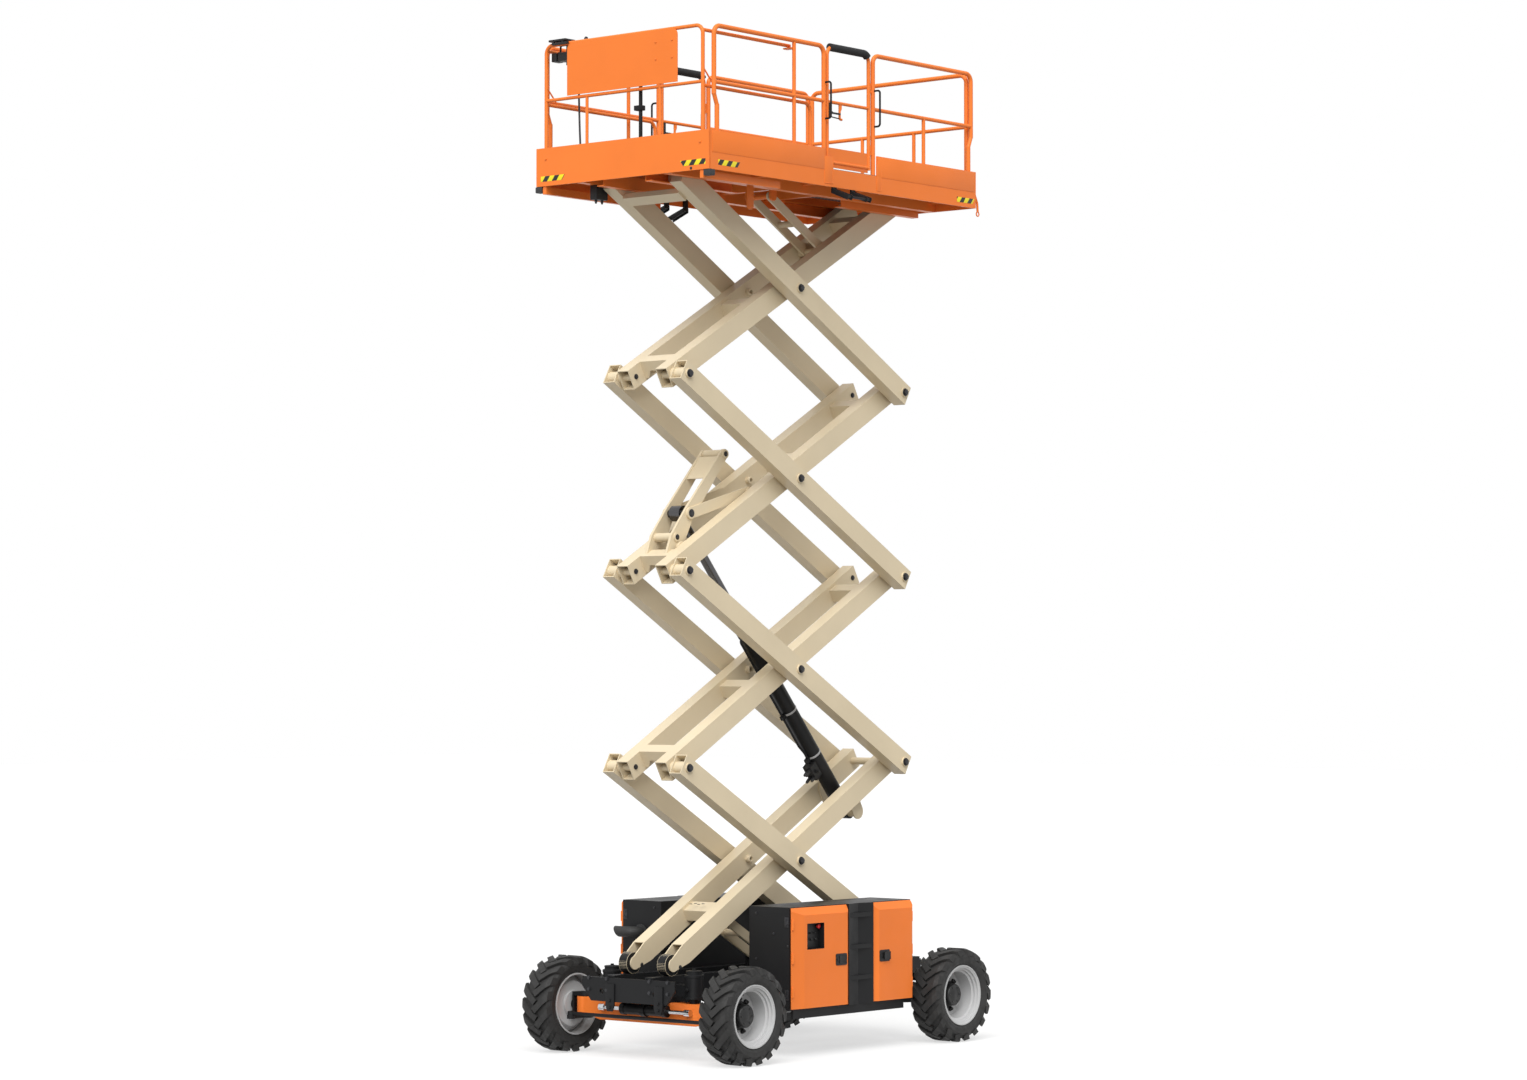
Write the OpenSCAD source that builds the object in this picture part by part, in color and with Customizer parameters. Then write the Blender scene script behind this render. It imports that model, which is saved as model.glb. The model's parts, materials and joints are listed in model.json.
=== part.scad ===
// Rough-terrain scissor lift, half raised.
// +X is the steered front, +Y the left side, +Z up; the origin is on the ground under the middle.

/* [Mast] */
// Length of an arm between its end pivots
arm_len = 3505; // [3400:5:3600]
// Angle of the arms above level
lift_angle = 29.4; // [27:0.1:32]
// Height of the lowest pivots above the ground
base_pivot_z = 827; // [815:1:850]
// Depth of an arm tube
arm_d = 185; // [170:1:190]
// Width of an arm tube
arm_w = 130; // [110:1:134]
// Wall of an arm tube
arm_t = 8; // [5:1:14]
// Length of an arm past its end pivot
arm_over = 70; // [60:1:80]
// Middle plane of the inner arms, from the centre line
inner_y = 225; // [223:1:229]
// Middle plane of the outer arms, from the centre line
outer_y = 392; // [388:1:396]
// Radius of the pivot pins
pin_r = 34; // [26:1:40]
// Radius of the rollers under the mast's lowest ends
foot_roller_r = 95; // [94:1:98]
// Radius of the rollers under the platform
head_roller_r = 45; // [40:1:48]

/* [Lift cylinder] */
// Place of the lower pin along the lowest inner arm
low_pin_s = 3006; // [2990:1:3020]
// Depth of the lower pin below that arm's middle line
low_pin_drop = 243; // [235:1:250]
// Place of the upper pin along the third inner arm
high_pin_s = 597; // [590:1:605]
// Height of the upper pin above that arm's middle line
high_pin_rise = 259; // [250:1:265]
// Radius of the barrel
barrel_r = 74; // [65:1:78]
// Length of the barrel from the lower pin
barrel_len = 2250; // [2150:5:2350]
// Radius of the rod
rod_r = 42; // [35:1:50]

/* [Running gear] */
// Distance between the axles
wheelbase = 2950; // [2900:5:3000]
// Distance between the middles of the left and right tyres
track = 2072; // [2060:1:2090]
// Outer diameter of a tyre
tyre_d = 854; // [834:1:874]
// Width of a tyre
tyre_w = 315; // [300:1:330]
// Diameter of the wheel under the tyre's bead
rim_d = 550; // [530:1:570]
// Distance of the kingpins from the centre line
kingpin_y = 790; // [780:1:800]
// Length of the steering arms
steer_arm = 200; // [190:1:210]
// Radius of a hub's spindle
spindle_r = 45; // [38:1:52]

/* [Cabinets] */
// Front end of the cabinets
cab_front_x = 780; // [760:1:800]
// Rear end of the cabinets
cab_rear_x = -940; // [-960:1:-920]
// Outer face of the doors from the centre line
cab_out_y = 1020; // [1000:1:1040]
// Inner wall of the cabinets from the centre line
cab_in_y = 520; // [515:1:560]
// Underside of the cabinets
cab_low_z = 420; // [400:1:440]
// Top of the cabinets
cab_top_z = 1320; // [1290:1:1350]
// Wall of a cabinet
cab_t = 25; // [18:1:32]
// Thickness of a door
door_t = 40; // [32:1:48]
// Rear edge of the front doors
strip_front_x = -10; // [-30:1:10]
// Front edge of the rear doors
strip_rear_x = -360; // [-380:1:-340]

/* [Platform] */
// Length of the platform
deck_len = 3810; // [3790:2:3830]
// Width of the platform
deck_w = 2030; // [2000:2:2050]
// Height of the toe boards with the deck's edge
toe_h = 340; // [320:1:360]
// Underside of the floor above the mast's upper pivots
floor_rise = 150; // [148:1:165]
// Thickness of the floor plate
floor_t = 6; // [4:1:8]
// Thickness of a toe board
toe_t = 12; // [8:1:14]
// Height of the guard rails above the floor
rail_h = 1090; // [1050:5:1150]
// Height of the middle rail above the floor
mid_rail_h = 600; // [540:5:650]
// Radius of a guard rail tube
rail_r = 21; // [18:0.5:22]
// Front edge of the gateway
gate_front_x = 280; // [260:1:300]
// Rear edge of the gateway
gate_rear_x = -380; // [-400:1:-360]
// Rear end of the sliding extension
ext_rear_x = 400; // [380:1:420]
// Radius of an extension rail tube
ext_rail_r = 17; // [14:0.5:19]

/* [Hidden] */
$fn = 48;
// Radial clearance of a pin in its bore, and the gap beside a piece that turns
run_gap = 0.1;
side_gap = 0.5;
seat_gap = 0.3;
// Height of one stage of the mast, and the pivots' distance from the middle
stage_h = arm_len * sin(lift_angle);
half_x = arm_len / 2 * cos(lift_angle);
head_z = base_pivot_z + 4 * stage_h;
link_len = arm_len / 4;
arm_in = inner_y - arm_w / 2;
collar_r = pin_r + 22;
cap_r = pin_r + 8;
cap_t = 14;
// Cross members of the inner arms
cross_t = 12;
cross_tube_r = 45;
front_tie = [110, 230];
tie_wing = 70;
mid_cross_s = arm_len / 2 - 362.5;
rear_cross_s = arm_len - 305;
fork_len = 190;
cheek_r = 58;
hat_s = 110;
hat_n = 52;
link_lug_y = [130, 150];
link_bar_y = [96, 120];
link_pin_r = 25;
link_eye_r = 42;
// Lift cylinder
low_pin = [low_pin_s, -low_pin_drop];
high_pin = [high_pin_s, high_pin_rise];
lever_low = [336, 158];
lever_top = [1280, 500];
lever_y = [104, 128];
lever_w = 60;
lever_tip = 45;
lever_tube_r = 40;
lever_cross_s = arm_len - 1405;
brace_n = 60;
brace_w = 50;
brace_y = 146;
foot_lug_w = 72;
cyl_pin_r = 38;
cyl_boss_r = 52;
cyl_eye_r = 70;
cyl_eye_w = 60;
// Chassis
rail_y = [inner_y - 45, inner_y + 45];
rail_top_z = base_pivot_z - foot_roller_r - seat_gap;
beam_x = 1780;
rear_rail_y = [outer_y - 45, outer_y + 45];
end_plate_t = 20;
bulkhead_y = 540;
rear_rail_x = -700;
cross_w = 100;
cross_x = [-1700, -500, -50, 600, 1620];
outrigger_x = [cab_front_x - 160, -60, cab_rear_x + 140];
outrigger_y = 700;
link_boss_r = 45;
lock_y = 480;
lock_r = 82;
tie_down_y = 310;
tie_down_z = 590;
tie_down_r = 25;
axle_x = wheelbase / 2;
axle_z = tyre_d / 2;
tyre_mid_y = track / 2;
axle_half_z = 75;
beam_low_z = axle_z + axle_half_z + seat_gap;
eye_r = 62;
axle_eye_r = 82;
axle_arch_y = 560;
axle_arch = 40;
axle_half_x = 75;
ram_x = 105;
ram_r = 45;
ram_rod_r = 18;
ram_half = 260;
ram_rod_out = 210;
ram_end_out = 270;
axle_flat_y = kingpin_y - axle_eye_r;
spindle_end = 12;
fork_gap = 4;
fork_t = 34;
kingpin_r = 30;
tie_pin_r = 16;
tie_boss_r = 36;
tie_end_half = 18;
// Wheels and tyres
rim_r = rim_d / 2;
rim_half = tyre_w / 2 - 22;
hub_r = 100;
hub_face = 42;
disc_y = -52;
disc_t = 24;
lugs = 18;
lug_h = 26;
lug_w = 56;
lug_turn = 40;
// Cabinets and doors
bevel = 24;
// Inward depth and width of the folds along a door's top and front edges
top_fold = [34, 66];
front_door_fold = [20, 154];
rear_door_fold = [24, 70];
door_lift = 12;
door_skin = 12;
door_gap = 6;
hinge_in = 10;
hinge_back = 12;
hinge_r = 9;
hinge_len = 90;
crease = 42;
strip_strap_z = [cab_low_z + 220, cab_low_z + 495, cab_low_z + 776];
strip_strap_h = 38;
// Skirt under the doors: its height, and how far it stops short of the cabinet's ends
skirt_h = 76;
skirt_in = [100, 50];
panel_x = [346, 583];
panel_z = [945, 1173];
panel_deep = 110;
engine_x = [-620, 120];
engine_y = [-900, -620];
engine_h = 560;
pipe_y = -760;
pipe_z = 1040;
pipe_r = 40;
pipe_bend = 70;
pipe_out = 110;
pipe_side = 170;
// Platform
deck_x = deck_len / 2;
floor_z = head_z + floor_rise + floor_t;
board_y = deck_w / 2;
board_low_z = head_z - 9;
post_y = board_y - toe_t - rail_r - seat_gap;
main_front_x = deck_x - 20;
front_post_x = main_front_x - 85;
mid_post_x = 716;
rear_stud_x = -1150;
rail_bend = 75;
rear_post_x = -deck_x + toe_t + rail_r + seat_gap;
rear_frame_y = post_y - 2 * rail_r - 10;
top_rail_z = floor_z + rail_h;
mid_rail_z = floor_z + mid_rail_h;
side_beam_y = [466, 546];
head_track_front_y = [outer_y - arm_w / 2 - 82, outer_y - arm_w / 2 - 6];
head_track_rear_y = [inner_y + arm_w / 2 + 6, inner_y + arm_w / 2 + 82];
track_t = 10;
track_x = [700, deck_x - 45];
deck_cross_x = [-track_x[1] - 20, -660, -30];
// Extension
ext_plate_y = post_y - rail_r - 14;
ext_post_y = ext_plate_y - 8 - ext_rail_r - seat_gap;
ext_front_x = deck_x - toe_t;
ext_rail_x = ext_front_x - ext_rail_r - seat_gap;
ext_floor_z = floor_z + side_gap;
ext_floor_t = 5;
ext_top_z = ext_floor_z + ext_floor_t;
ext_runner_y = [905, 945];
ext_side_top_z = top_rail_z - 2 * ext_rail_r - 10;
runner_x = 860;
front_stud_y = 430;
brace_r = 7;
shield_y = 650;
shield_r = 60;
kink = 40;
step_r = 11;
step_w = 60;
step_t = 14;
step_x = gate_front_x - 240;
step_half = 163;
deck_rib_x = [-deck_x + 60, -700, step_x - 30, 700];
step_out = 160;
step_drop = 100;
grab_r = 9;

// Shared shapes
module block(x, y, z) {
  translate([x[0], y[0], z[0]])
    cube([x[1] - x[0], y[1] - y[0], z[1] - z[0]]);
}
module both_sides() {
  children();
  mirror([0, 1, 0]) children();
}
module side(s) {
  mirror([0, s > 0 ? 0 : 1, 0]) children();
}
module round_x(r, x) {
  translate([x[0], 0, 0])
    rotate([0, 90, 0])
      cylinder(r = r, h = x[1] - x[0]);
}
module round_y(r, y) {
  translate([0, y[0], 0])
    rotate([-90, 0, 0])
      cylinder(r = r, h = y[1] - y[0]);
}
module round_z(r, z) {
  translate([0, 0, z[0]])
    cylinder(r = r, h = z[1] - z[0]);
}
module strut(p, q, r) {
  v = q - p;
  translate(p)
    rotate([0, acos(v[2] / norm(v)), atan2(v[1], v[0])])
      cylinder(r = r, h = norm(v));
}
// A run of round tube through a list of points, bent to radius b at its corners
function unit(v) = v / norm(v);
function bend_setback(p, i, b) = (i == 0 || i == len(p) - 1) ? 0 :
  b * tan(acos(unit(p[i] - p[i - 1]) * unit(p[i + 1] - p[i])) / 2);
module tube_run(p, r, b) {
  for (i = [0 : len(p) - 2]) {
    u = unit(p[i + 1] - p[i]);
    strut(p[i] + bend_setback(p, i, b) * u, p[i + 1] - bend_setback(p, i + 1, b) * u, r);
  }
  for (i = [1 : 1 : len(p) - 2])
    tube_bend(p[i], unit(p[i] - p[i - 1]), unit(p[i + 1] - p[i]), bend_setback(p, i, b), r, b);
}
module tube_bend(corner, u, v, setback, r, b) {
  w = unit(v - (u * v) * u);
  n = cross(u, w);
  c = corner - setback * u + b * w;
  multmatrix([[-w[0], u[0], n[0], c[0]], [-w[1], u[1], n[1], c[1]],
    [-w[2], u[2], n[2], c[2]], [0, 0, 0, 1]])
    rotate_extrude(angle = acos(u * v))
      translate([b, 0]) circle(r = r);
}
// Flat plates of a given outline, in the Y-Z plane and in the X-Z plane
module plate_x(outline, x) {
  translate([x[0], 0, 0])
    rotate([90, 0, 90])
      linear_extrude(x[1] - x[0]) polygon(outline);
}
module plate_y(outline, y) {
  translate([0, y[1], 0])
    rotate([90, 0, 0])
      linear_extrude(y[1] - y[0]) polygon(outline);
}
// A flat bar with round ends between two points of the X-Z plane
module link_plate(p, q, w, y) {
  v = q - p;
  translate([p[0], 0, p[1]])
    rotate([0, -atan2(v[1], v[0]), 0]) {
      block([0, norm(v)], y, [-w, w]);
      round_y(w, y);
      translate([norm(v), 0, 0]) round_y(w, y);
    }
}

// Frames of the arms: x runs along the arm from its lower pivot, z is square to it
module inner_frame(stage) {
  translate([half_x, 0, base_pivot_z + (stage - 1) * stage_h])
    rotate([0, lift_angle, 0])
      rotate([0, 0, 180])
        children();
}
module outer_frame(stage) {
  translate([-half_x, 0, base_pivot_z + (stage - 1) * stage_h])
    rotate([0, -lift_angle, 0])
      children();
}
module arm_tube(s, y) {
  difference() {
    block(s, [y - arm_w / 2, y + arm_w / 2], [-arm_d / 2, arm_d / 2]);
    block([s[0] - 1, s[1] + 1], [y - arm_w / 2 + arm_t, y + arm_w / 2 - arm_t],
      [-arm_d / 2 + arm_t, arm_d / 2 - arm_t]);
  }
}
// A pin that stands out of an inner arm, with its collar and its end plate
module arm_pin(s) {
  outside = outer_y + arm_w / 2 + side_gap;
  translate([s, 0, 0]) {
    round_y(pin_r, [arm_in, outside + cap_t]);
    round_y(collar_r, [inner_y + arm_w / 2 - arm_t, outer_y - arm_w / 2 - side_gap]);
    round_y(cap_r, [outside, outside + cap_t]);
  }
}
// The bush of an outer arm that turns on such a pin
module arm_bush(s) {
  translate([s, 0, 0])
    round_y(collar_r, [outer_y - arm_w / 2, outer_y + arm_w / 2]);
}
module bush_bore(s) {
  translate([s, 0, 0])
    round_y(pin_r + run_gap, [outer_y - arm_w / 2 - 1, outer_y + arm_w / 2 + 1]);
}
// The forked lower end of an arm with its roller
module forked_end(y) {
  for (face = [y - arm_w / 2, y + arm_w / 2 - cross_t]) {
    plate_y([[0, -cheek_r], [fork_len + 1, -arm_d / 2], [fork_len + 1, arm_d / 2], [20, cheek_r], [0, cheek_r]],
      [face, face + cross_t]);
    round_y(cheek_r, [face, face + cross_t]);
  }
  round_y(pin_r, [y - arm_w / 2, y + arm_w / 2]);
  round_y(foot_roller_r, [y - arm_w / 2 + cross_t + 6, y + arm_w / 2 - cross_t - 6]);
}
// The tie across the front end of the inner arms
module front_cross() {
  block(front_tie, [-arm_in, arm_in], [arm_d / 2 - cross_t, arm_d / 2]);
  for (s = [front_tie[0], front_tie[1] - cross_t])
    plate_x([[-arm_in, arm_d / 2], [-arm_in, -tie_wing], [-0.75 * arm_in, -tie_wing], [-0.5 * arm_in, 0],
      [0.5 * arm_in, 0], [0.75 * arm_in, -tie_wing], [arm_in, -tie_wing], [arm_in, arm_d / 2]],
      [s, s + cross_t]);
}
module box_cross(s) {
  difference() {
    block([s - 60, s + 60], [-arm_in, arm_in], [-60, 60]);
    block([s - 52, s + 52], [-arm_in - 1, arm_in + 1], [-52, 52]);
  }
}
// Cross pin, lugs and bent cover that hold a centring link
module link_cross(s, turn) {
  translate([s, 0, 0])
    rotate([0, turn, 0]) {
      both_sides() {
        round_y(link_eye_r, link_lug_y);
        round_y(cross_tube_r, [link_lug_y[1] - 1, arm_in]);
      }
      round_y(link_pin_r, [-link_lug_y[1], link_lug_y[1]]);
      block([-hat_s, link_eye_r], [-arm_in, arm_in], [hat_n, hat_n + cross_t]);
      block([-hat_s, -hat_s + cross_t], [-arm_in, arm_in], [-link_eye_r, hat_n + 1]);
    }
}
module inner_pair(first, pins) {
  both_sides() {
    arm_tube([first, arm_len + arm_over], inner_y);
    for (s = pins)
      arm_pin(s);
  }
}
module inner_arms_1() {
  color("wheat") inner_frame(1) {
    inner_pair(fork_len, [arm_len / 2, arm_len]);
    both_sides() {
      forked_end(inner_y);
      link_plate(low_pin, [low_pin[0], 0], foot_lug_w, [arm_in - cross_t, arm_in]);
    }
    link_cross(link_len, 0);
    translate([low_pin[0], 0, low_pin[1]]) {
      round_y(cyl_pin_r, [-arm_in, arm_in]);
      both_sides()
        round_y(cyl_boss_r, [cyl_eye_w + side_gap, arm_in - cross_t]);
    }
    translate([arm_len, 0, 0]) round_y(pin_r, [-arm_in, arm_in]);
  }
}
module inner_arms_2() {
  color("wheat") inner_frame(2) {
    inner_pair(-arm_over, [0, arm_len / 2, arm_len]);
    front_cross();
    box_cross(mid_cross_s);
    box_cross(rear_cross_s);
  }
}
module inner_arms_3() {
  color("wheat") inner_frame(3) {
    inner_pair(-arm_over, [0, arm_len / 2, arm_len]);
    front_cross();
    box_cross(lever_cross_s);
    box_cross(rear_cross_s);
    // Lever plates that carry the cylinder's upper pin, their braces and the cover between their tips
    both_sides() {
      plate_y([[150, arm_d / 2 - 1], [front_tie[1] - 2, arm_d / 2 - 1], [lever_low[0] - lever_w, brace_n],
        [lever_low[0] + lever_w, brace_n], high_pin + lever_w * [0.35, -1],
        lever_top + lever_tip * [0.3, -0.95], lever_top + lever_tip * [-0.3, 0.95],
        high_pin + lever_w * [-0.35, 1], lever_low + lever_w * [-0.8, 0.8]], lever_y);
      translate([lever_top[0], 0, lever_top[1]]) round_y(lever_tip, lever_y);
      link_plate(high_pin, [mid_cross_s, brace_n], brace_w, [lever_y[1] - 1, brace_y]);
      translate([mid_cross_s, 0, brace_n]) round_y(brace_w - 8, [brace_y - 1, arm_in]);
      link_plate([lever_low[0], brace_n], [lever_low[0], 0], brace_w, [lever_y[1] - 1, arm_in]);
      translate([high_pin[0], 0, high_pin[1]])
        round_y(cyl_boss_r, [lever_y[1] - 1, brace_y + 4]);
    }
    cover_from = lever_low + 0.67 * (lever_top - lever_low) + lever_tip * [-0.3, 0.85];
    cover_to = lever_low + 0.93 * (lever_top - lever_low) + lever_tip * [-0.3, 0.85];
    link_plate(cover_from, cover_to, 4, [-lever_y[0] - 1, lever_y[0] + 1]);
    for (end = [lever_low, lever_top])
      translate([end[0], 0, end[1]]) round_y(lever_tube_r, [-lever_y[1] - 12, lever_y[1] + 12]);
  }
}
module inner_arms_4() {
  color("wheat") inner_frame(4) {
    inner_pair(-arm_over, [0, arm_len / 2]);
    front_cross();
    box_cross(mid_cross_s + 20);
    box_cross(rear_cross_s);
    link_cross(arm_len - link_len, 180);
    both_sides()
      translate([arm_len, 0, 0]) {
        round_y(pin_r, [arm_in, head_track_rear_y[1] - 8]);
        round_y(head_roller_r, [head_track_rear_y[0] + 4, head_track_rear_y[1] - 12]);
      }
  }
}
module outer_pair(first, bushes) {
  both_sides()
    difference() {
      union() {
        arm_tube([first, arm_len + arm_over], outer_y);
        for (s = bushes)
          arm_bush(s);
      }
      for (s = bushes)
        bush_bore(s);
    }
}
module outer_arms_1() {
  color("wheat") outer_frame(1) {
    outer_pair(fork_len, [arm_len / 2, arm_len]);
    both_sides() forked_end(outer_y);
  }
}
module outer_arms_2() {
  color("wheat") outer_frame(2)
    outer_pair(-arm_over, [0, arm_len / 2, arm_len]);
}
module outer_arms_3() {
  color("wheat") outer_frame(3)
    outer_pair(-arm_over, [0, arm_len / 2, arm_len]);
}
module outer_arms_4() {
  reach = [head_track_front_y[0] + 8, outer_y + arm_w / 2];
  color("wheat") outer_frame(4) {
    outer_pair(-arm_over, [0, arm_len / 2]);
    both_sides()
      translate([arm_len, 0, 0]) {
        round_y(pin_r, reach);
        round_y(head_roller_r, [head_track_front_y[0] + 12, head_track_front_y[1] - 4]);
        block([arm_over - arm_t, arm_over], [outer_y - arm_w / 2, outer_y + arm_w / 2],
          [-arm_d / 2, arm_d / 2]);
      }
    block([arm_len - 190, arm_len - 70], [-outer_y + arm_w / 2 - 1, outer_y - arm_w / 2 + 1],
      [-arm_d / 2 - 18, -arm_d / 2 + 36]);
  }
}
// Centring link: its lower eye turns on one cross pin, its upper eye on the other
module centring_link(p, q) {
  color("wheat") difference() {
    union() {
      both_sides() link_plate(p, q, link_eye_r, link_bar_y);
      mid = (p + q) / 2;
      translate([mid[0], 0, mid[1]])
        round_y(30, [-link_bar_y[0] - 1, link_bar_y[0] + 1]);
    }
    for (end = [p, q])
      translate([end[0], 0, end[1]])
        round_y(link_pin_r + run_gap, [-link_bar_y[1] - 1, link_bar_y[1] + 1]);
  }
}
link_rise = link_len * [cos(lift_angle), sin(lift_angle)];
module base_link() {
  centring_link([0, base_pivot_z], [0, base_pivot_z] + link_rise);
}
module top_link() {
  centring_link([0, head_z], [0, head_z] - link_rise);
}

// The cylinder's pins in the machine's own X-Z plane
function on_inner(stage, p) =
  [half_x - p[0] * cos(lift_angle) + p[1] * sin(lift_angle),
   base_pivot_z + (stage - 1) * stage_h + p[0] * sin(lift_angle) + p[1] * cos(lift_angle)];
cyl_low = on_inner(1, low_pin);
cyl_high = on_inner(3, high_pin);
cyl_v = cyl_high - cyl_low;
cyl_len = norm(cyl_v);
module cylinder_frame() {
  translate([cyl_low[0], 0, cyl_low[1]])
    rotate([0, 90 - atan2(cyl_v[1], cyl_v[0]), 0])
      children();
}
gland_len = 90;
module lift_barrel() {
  color("dimgray") cylinder_frame() difference() {
    union() {
      round_y(cyl_eye_r, [-cyl_eye_w, cyl_eye_w]);
      round_z(cyl_eye_w - 2, [0, cyl_eye_r + 2]);
      round_z(barrel_r, [cyl_eye_r - 4, barrel_len]);
      round_z(barrel_r + 6, [barrel_len - gland_len, barrel_len]);
    }
    round_y(cyl_pin_r + run_gap, [-cyl_eye_w - 1, cyl_eye_w + 1]);
    round_z(rod_r + run_gap, [cyl_eye_r + 80, barrel_len + 1]);
  }
}
module lift_rod() {
  color("silver") cylinder_frame() {
    round_z(rod_r, [cyl_eye_r + 90 + 0.4 * cyl_len, cyl_len - 20]);
    translate([0, 0, cyl_len]) {
      round_y(cyl_eye_r, [-cyl_eye_w, cyl_eye_w]);
      round_y(cyl_pin_r, [-lever_y[0] + side_gap, lever_y[0] - side_gap]);
    }
  }
}

// Chassis: two long beams that carry the front rollers, rear rails, cross members and outriggers
module chassis_frame() {
  saddle_z = [beam_low_z, beam_low_z + 21];
  color("#2b2b2d") {
    both_sides() {
      difference() {
        block([-beam_x, beam_x], rail_y, [beam_low_z, rail_top_z]);
        block([-beam_x - 1, beam_x + 1], [rail_y[0] + 10, rail_y[1] - 10],
          [beam_low_z + 12, rail_top_z - 16]);
      }
      difference() {
        block([-beam_x, rear_rail_x], rear_rail_y, [beam_low_z + 80, rail_top_z]);
        block([-beam_x - 1, rear_rail_x + 1], [rear_rail_y[0] + 10, rear_rail_y[1] - 10],
          [beam_low_z + 92, rail_top_z - 16]);
      }
      // Outriggers, tapered towards their tips, that carry the cabinets
      for (x = outrigger_x) {
        plate_x([[rail_y[1] - 1, beam_low_z + 40], [rail_y[1] - 1, cab_low_z - 82],
          [cab_in_y + 40, cab_low_z - 82], [outrigger_y, cab_low_z - 40], [outrigger_y, cab_low_z - seat_gap],
          [cab_in_y - 20, cab_low_z - seat_gap], [cab_in_y - 60, beam_low_z + 40]], [x, x + cross_w]);
        block([x, x + cross_w], rail_y, [cab_low_z - 82, beam_low_z + 1]);
      }
      for (x = [-beam_x + 20, rear_rail_x - 60])
        block([x, x + 60], [rail_y[1] - 1, rear_rail_y[0] + 1], [beam_low_z + 100, rail_top_z - 20]);
      // Lugs that hold the base link
      block([-link_boss_r, link_boss_r], link_lug_y, [beam_low_z + 60, base_pivot_z]);
      translate([0, 0, base_pivot_z]) round_y(link_boss_r, link_lug_y);
      // Axle lock cylinders on brackets beside the beams
      translate([axle_x, lock_y, 0]) {
        round_z(lock_r, [saddle_z[0] + 40, saddle_z[0] + 250]);
        round_z(lock_r - 14, [saddle_z[0] + 249, saddle_z[0] + 285]);
        round_z(lock_r / 2, [saddle_z[0], saddle_z[0] + 41]);
      }
      block([axle_x - 60, axle_x + 60], [rail_y[1] - 1, lock_y - lock_r / 2],
        [beam_low_z + 60, beam_low_z + 160]);
    }
    for (x = cross_x)
      block([x, x + cross_w], [-rail_y[0] - 1, rail_y[0] + 1], [beam_low_z + 20, rail_top_z - 40]);
    translate([0, 0, base_pivot_z]) round_y(link_pin_r, [-link_lug_y[1], link_lug_y[1]]);
    // End plates with the tie-down holes
    difference() {
      union() {
        plate_x([[-bulkhead_y, rail_top_z - 20], [-bulkhead_y, tie_down_z + 40], [-rear_rail_y[1], beam_low_z],
          [rear_rail_y[1], beam_low_z], [bulkhead_y, tie_down_z + 40], [bulkhead_y, rail_top_z - 20]],
          [beam_x - 1, beam_x + end_plate_t]);
        block([-beam_x - end_plate_t, -beam_x + 1], [-rear_rail_y[1], rear_rail_y[1]],
          [beam_low_z, rail_top_z - 20]);
      }
      for (y = [-tie_down_y, tie_down_y])
        translate([0, y, tie_down_z])
          round_x(tie_down_r, [-beam_x - 2 * end_plate_t, beam_x + 2 * end_plate_t]);
    }
    // Saddles over the two axles
    for (x = [-axle_x, axle_x])
      block([x - 110, x + 110], [-rail_y[1], rail_y[1]], saddle_z);
  }
}

// Front axle: a box beam with an eye for each kingpin, and the steering cylinder's body
module front_axle() {
  low = axle_z - axle_half_z;
  color("#f0803c") difference() {
    union() {
      plate_x([[-kingpin_y, low], [-axle_flat_y, low], [-axle_arch_y, low - axle_arch],
        [axle_arch_y, low - axle_arch], [axle_flat_y, low], [kingpin_y, low], [kingpin_y, axle_z + axle_half_z],
        [-kingpin_y, axle_z + axle_half_z]], [axle_x - axle_half_x, axle_x + axle_half_x]);
      both_sides()
        translate([axle_x, kingpin_y, 0])
          round_z(axle_eye_r, [axle_z - axle_half_z, axle_z + axle_half_z]);
      translate([axle_x + ram_x, 0, axle_z]) round_y(ram_r, [-ram_half, ram_half]);
      both_sides()
        block([axle_x + 70, axle_x + ram_x + 5], [ram_half - 60, ram_half - 20], [axle_z - 40, axle_z + 40]);
    }
    both_sides()
      translate([axle_x, kingpin_y, 0])
        round_z(kingpin_r + run_gap, [axle_z - 2 * axle_half_z, axle_z + 2 * axle_half_z]);
    translate([axle_x + ram_x, 0, axle_z]) round_y(ram_rod_r + run_gap, [-ram_half - 1, ram_half + 1]);
  }
}
module steering_rod() {
  color("silver") translate([axle_x + ram_x, 0, axle_z]) {
    round_y(ram_rod_r, [-ram_half - ram_rod_out, ram_half + ram_rod_out]);
    both_sides() round_y(ram_rod_r + 12, [ram_half + ram_rod_out - 1, ram_half + ram_end_out]);
  }
}
// Steering knuckle: a fork over the axle's eye, the wheel's spindle and the steering arm
module knuckle() {
  low = axle_z - axle_half_z - fork_gap;
  high = axle_z + axle_half_z + fork_gap;
  reach = axle_eye_r + 12;
  color("#2b2b2d")
    translate([axle_x, kingpin_y, 0]) {
      round_z(kingpin_r, [low - fork_t, high + fork_t]);
      for (z = [[low - fork_t, low], [high, high + fork_t]]) {
        round_z(eye_r, z);
        block([-eye_r, eye_r], [0, reach + 20], z);
      }
      block([-eye_r, eye_r], [reach, reach + 20], [low - fork_t, high + fork_t]);
      translate([0, 0, axle_z]) round_y(spindle_r, [reach + 19, tyre_mid_y - kingpin_y - spindle_end]);
      block([0, steer_arm], [-20, 20], [low - fork_t, low - 4]);
      translate([steer_arm, 0, 0]) {
        round_z(tie_boss_r, [low - fork_t, low - 4]);
        round_z(tie_pin_r, [low - fork_t, low + 2 * tie_end_half]);
      }
    }
}
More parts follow.
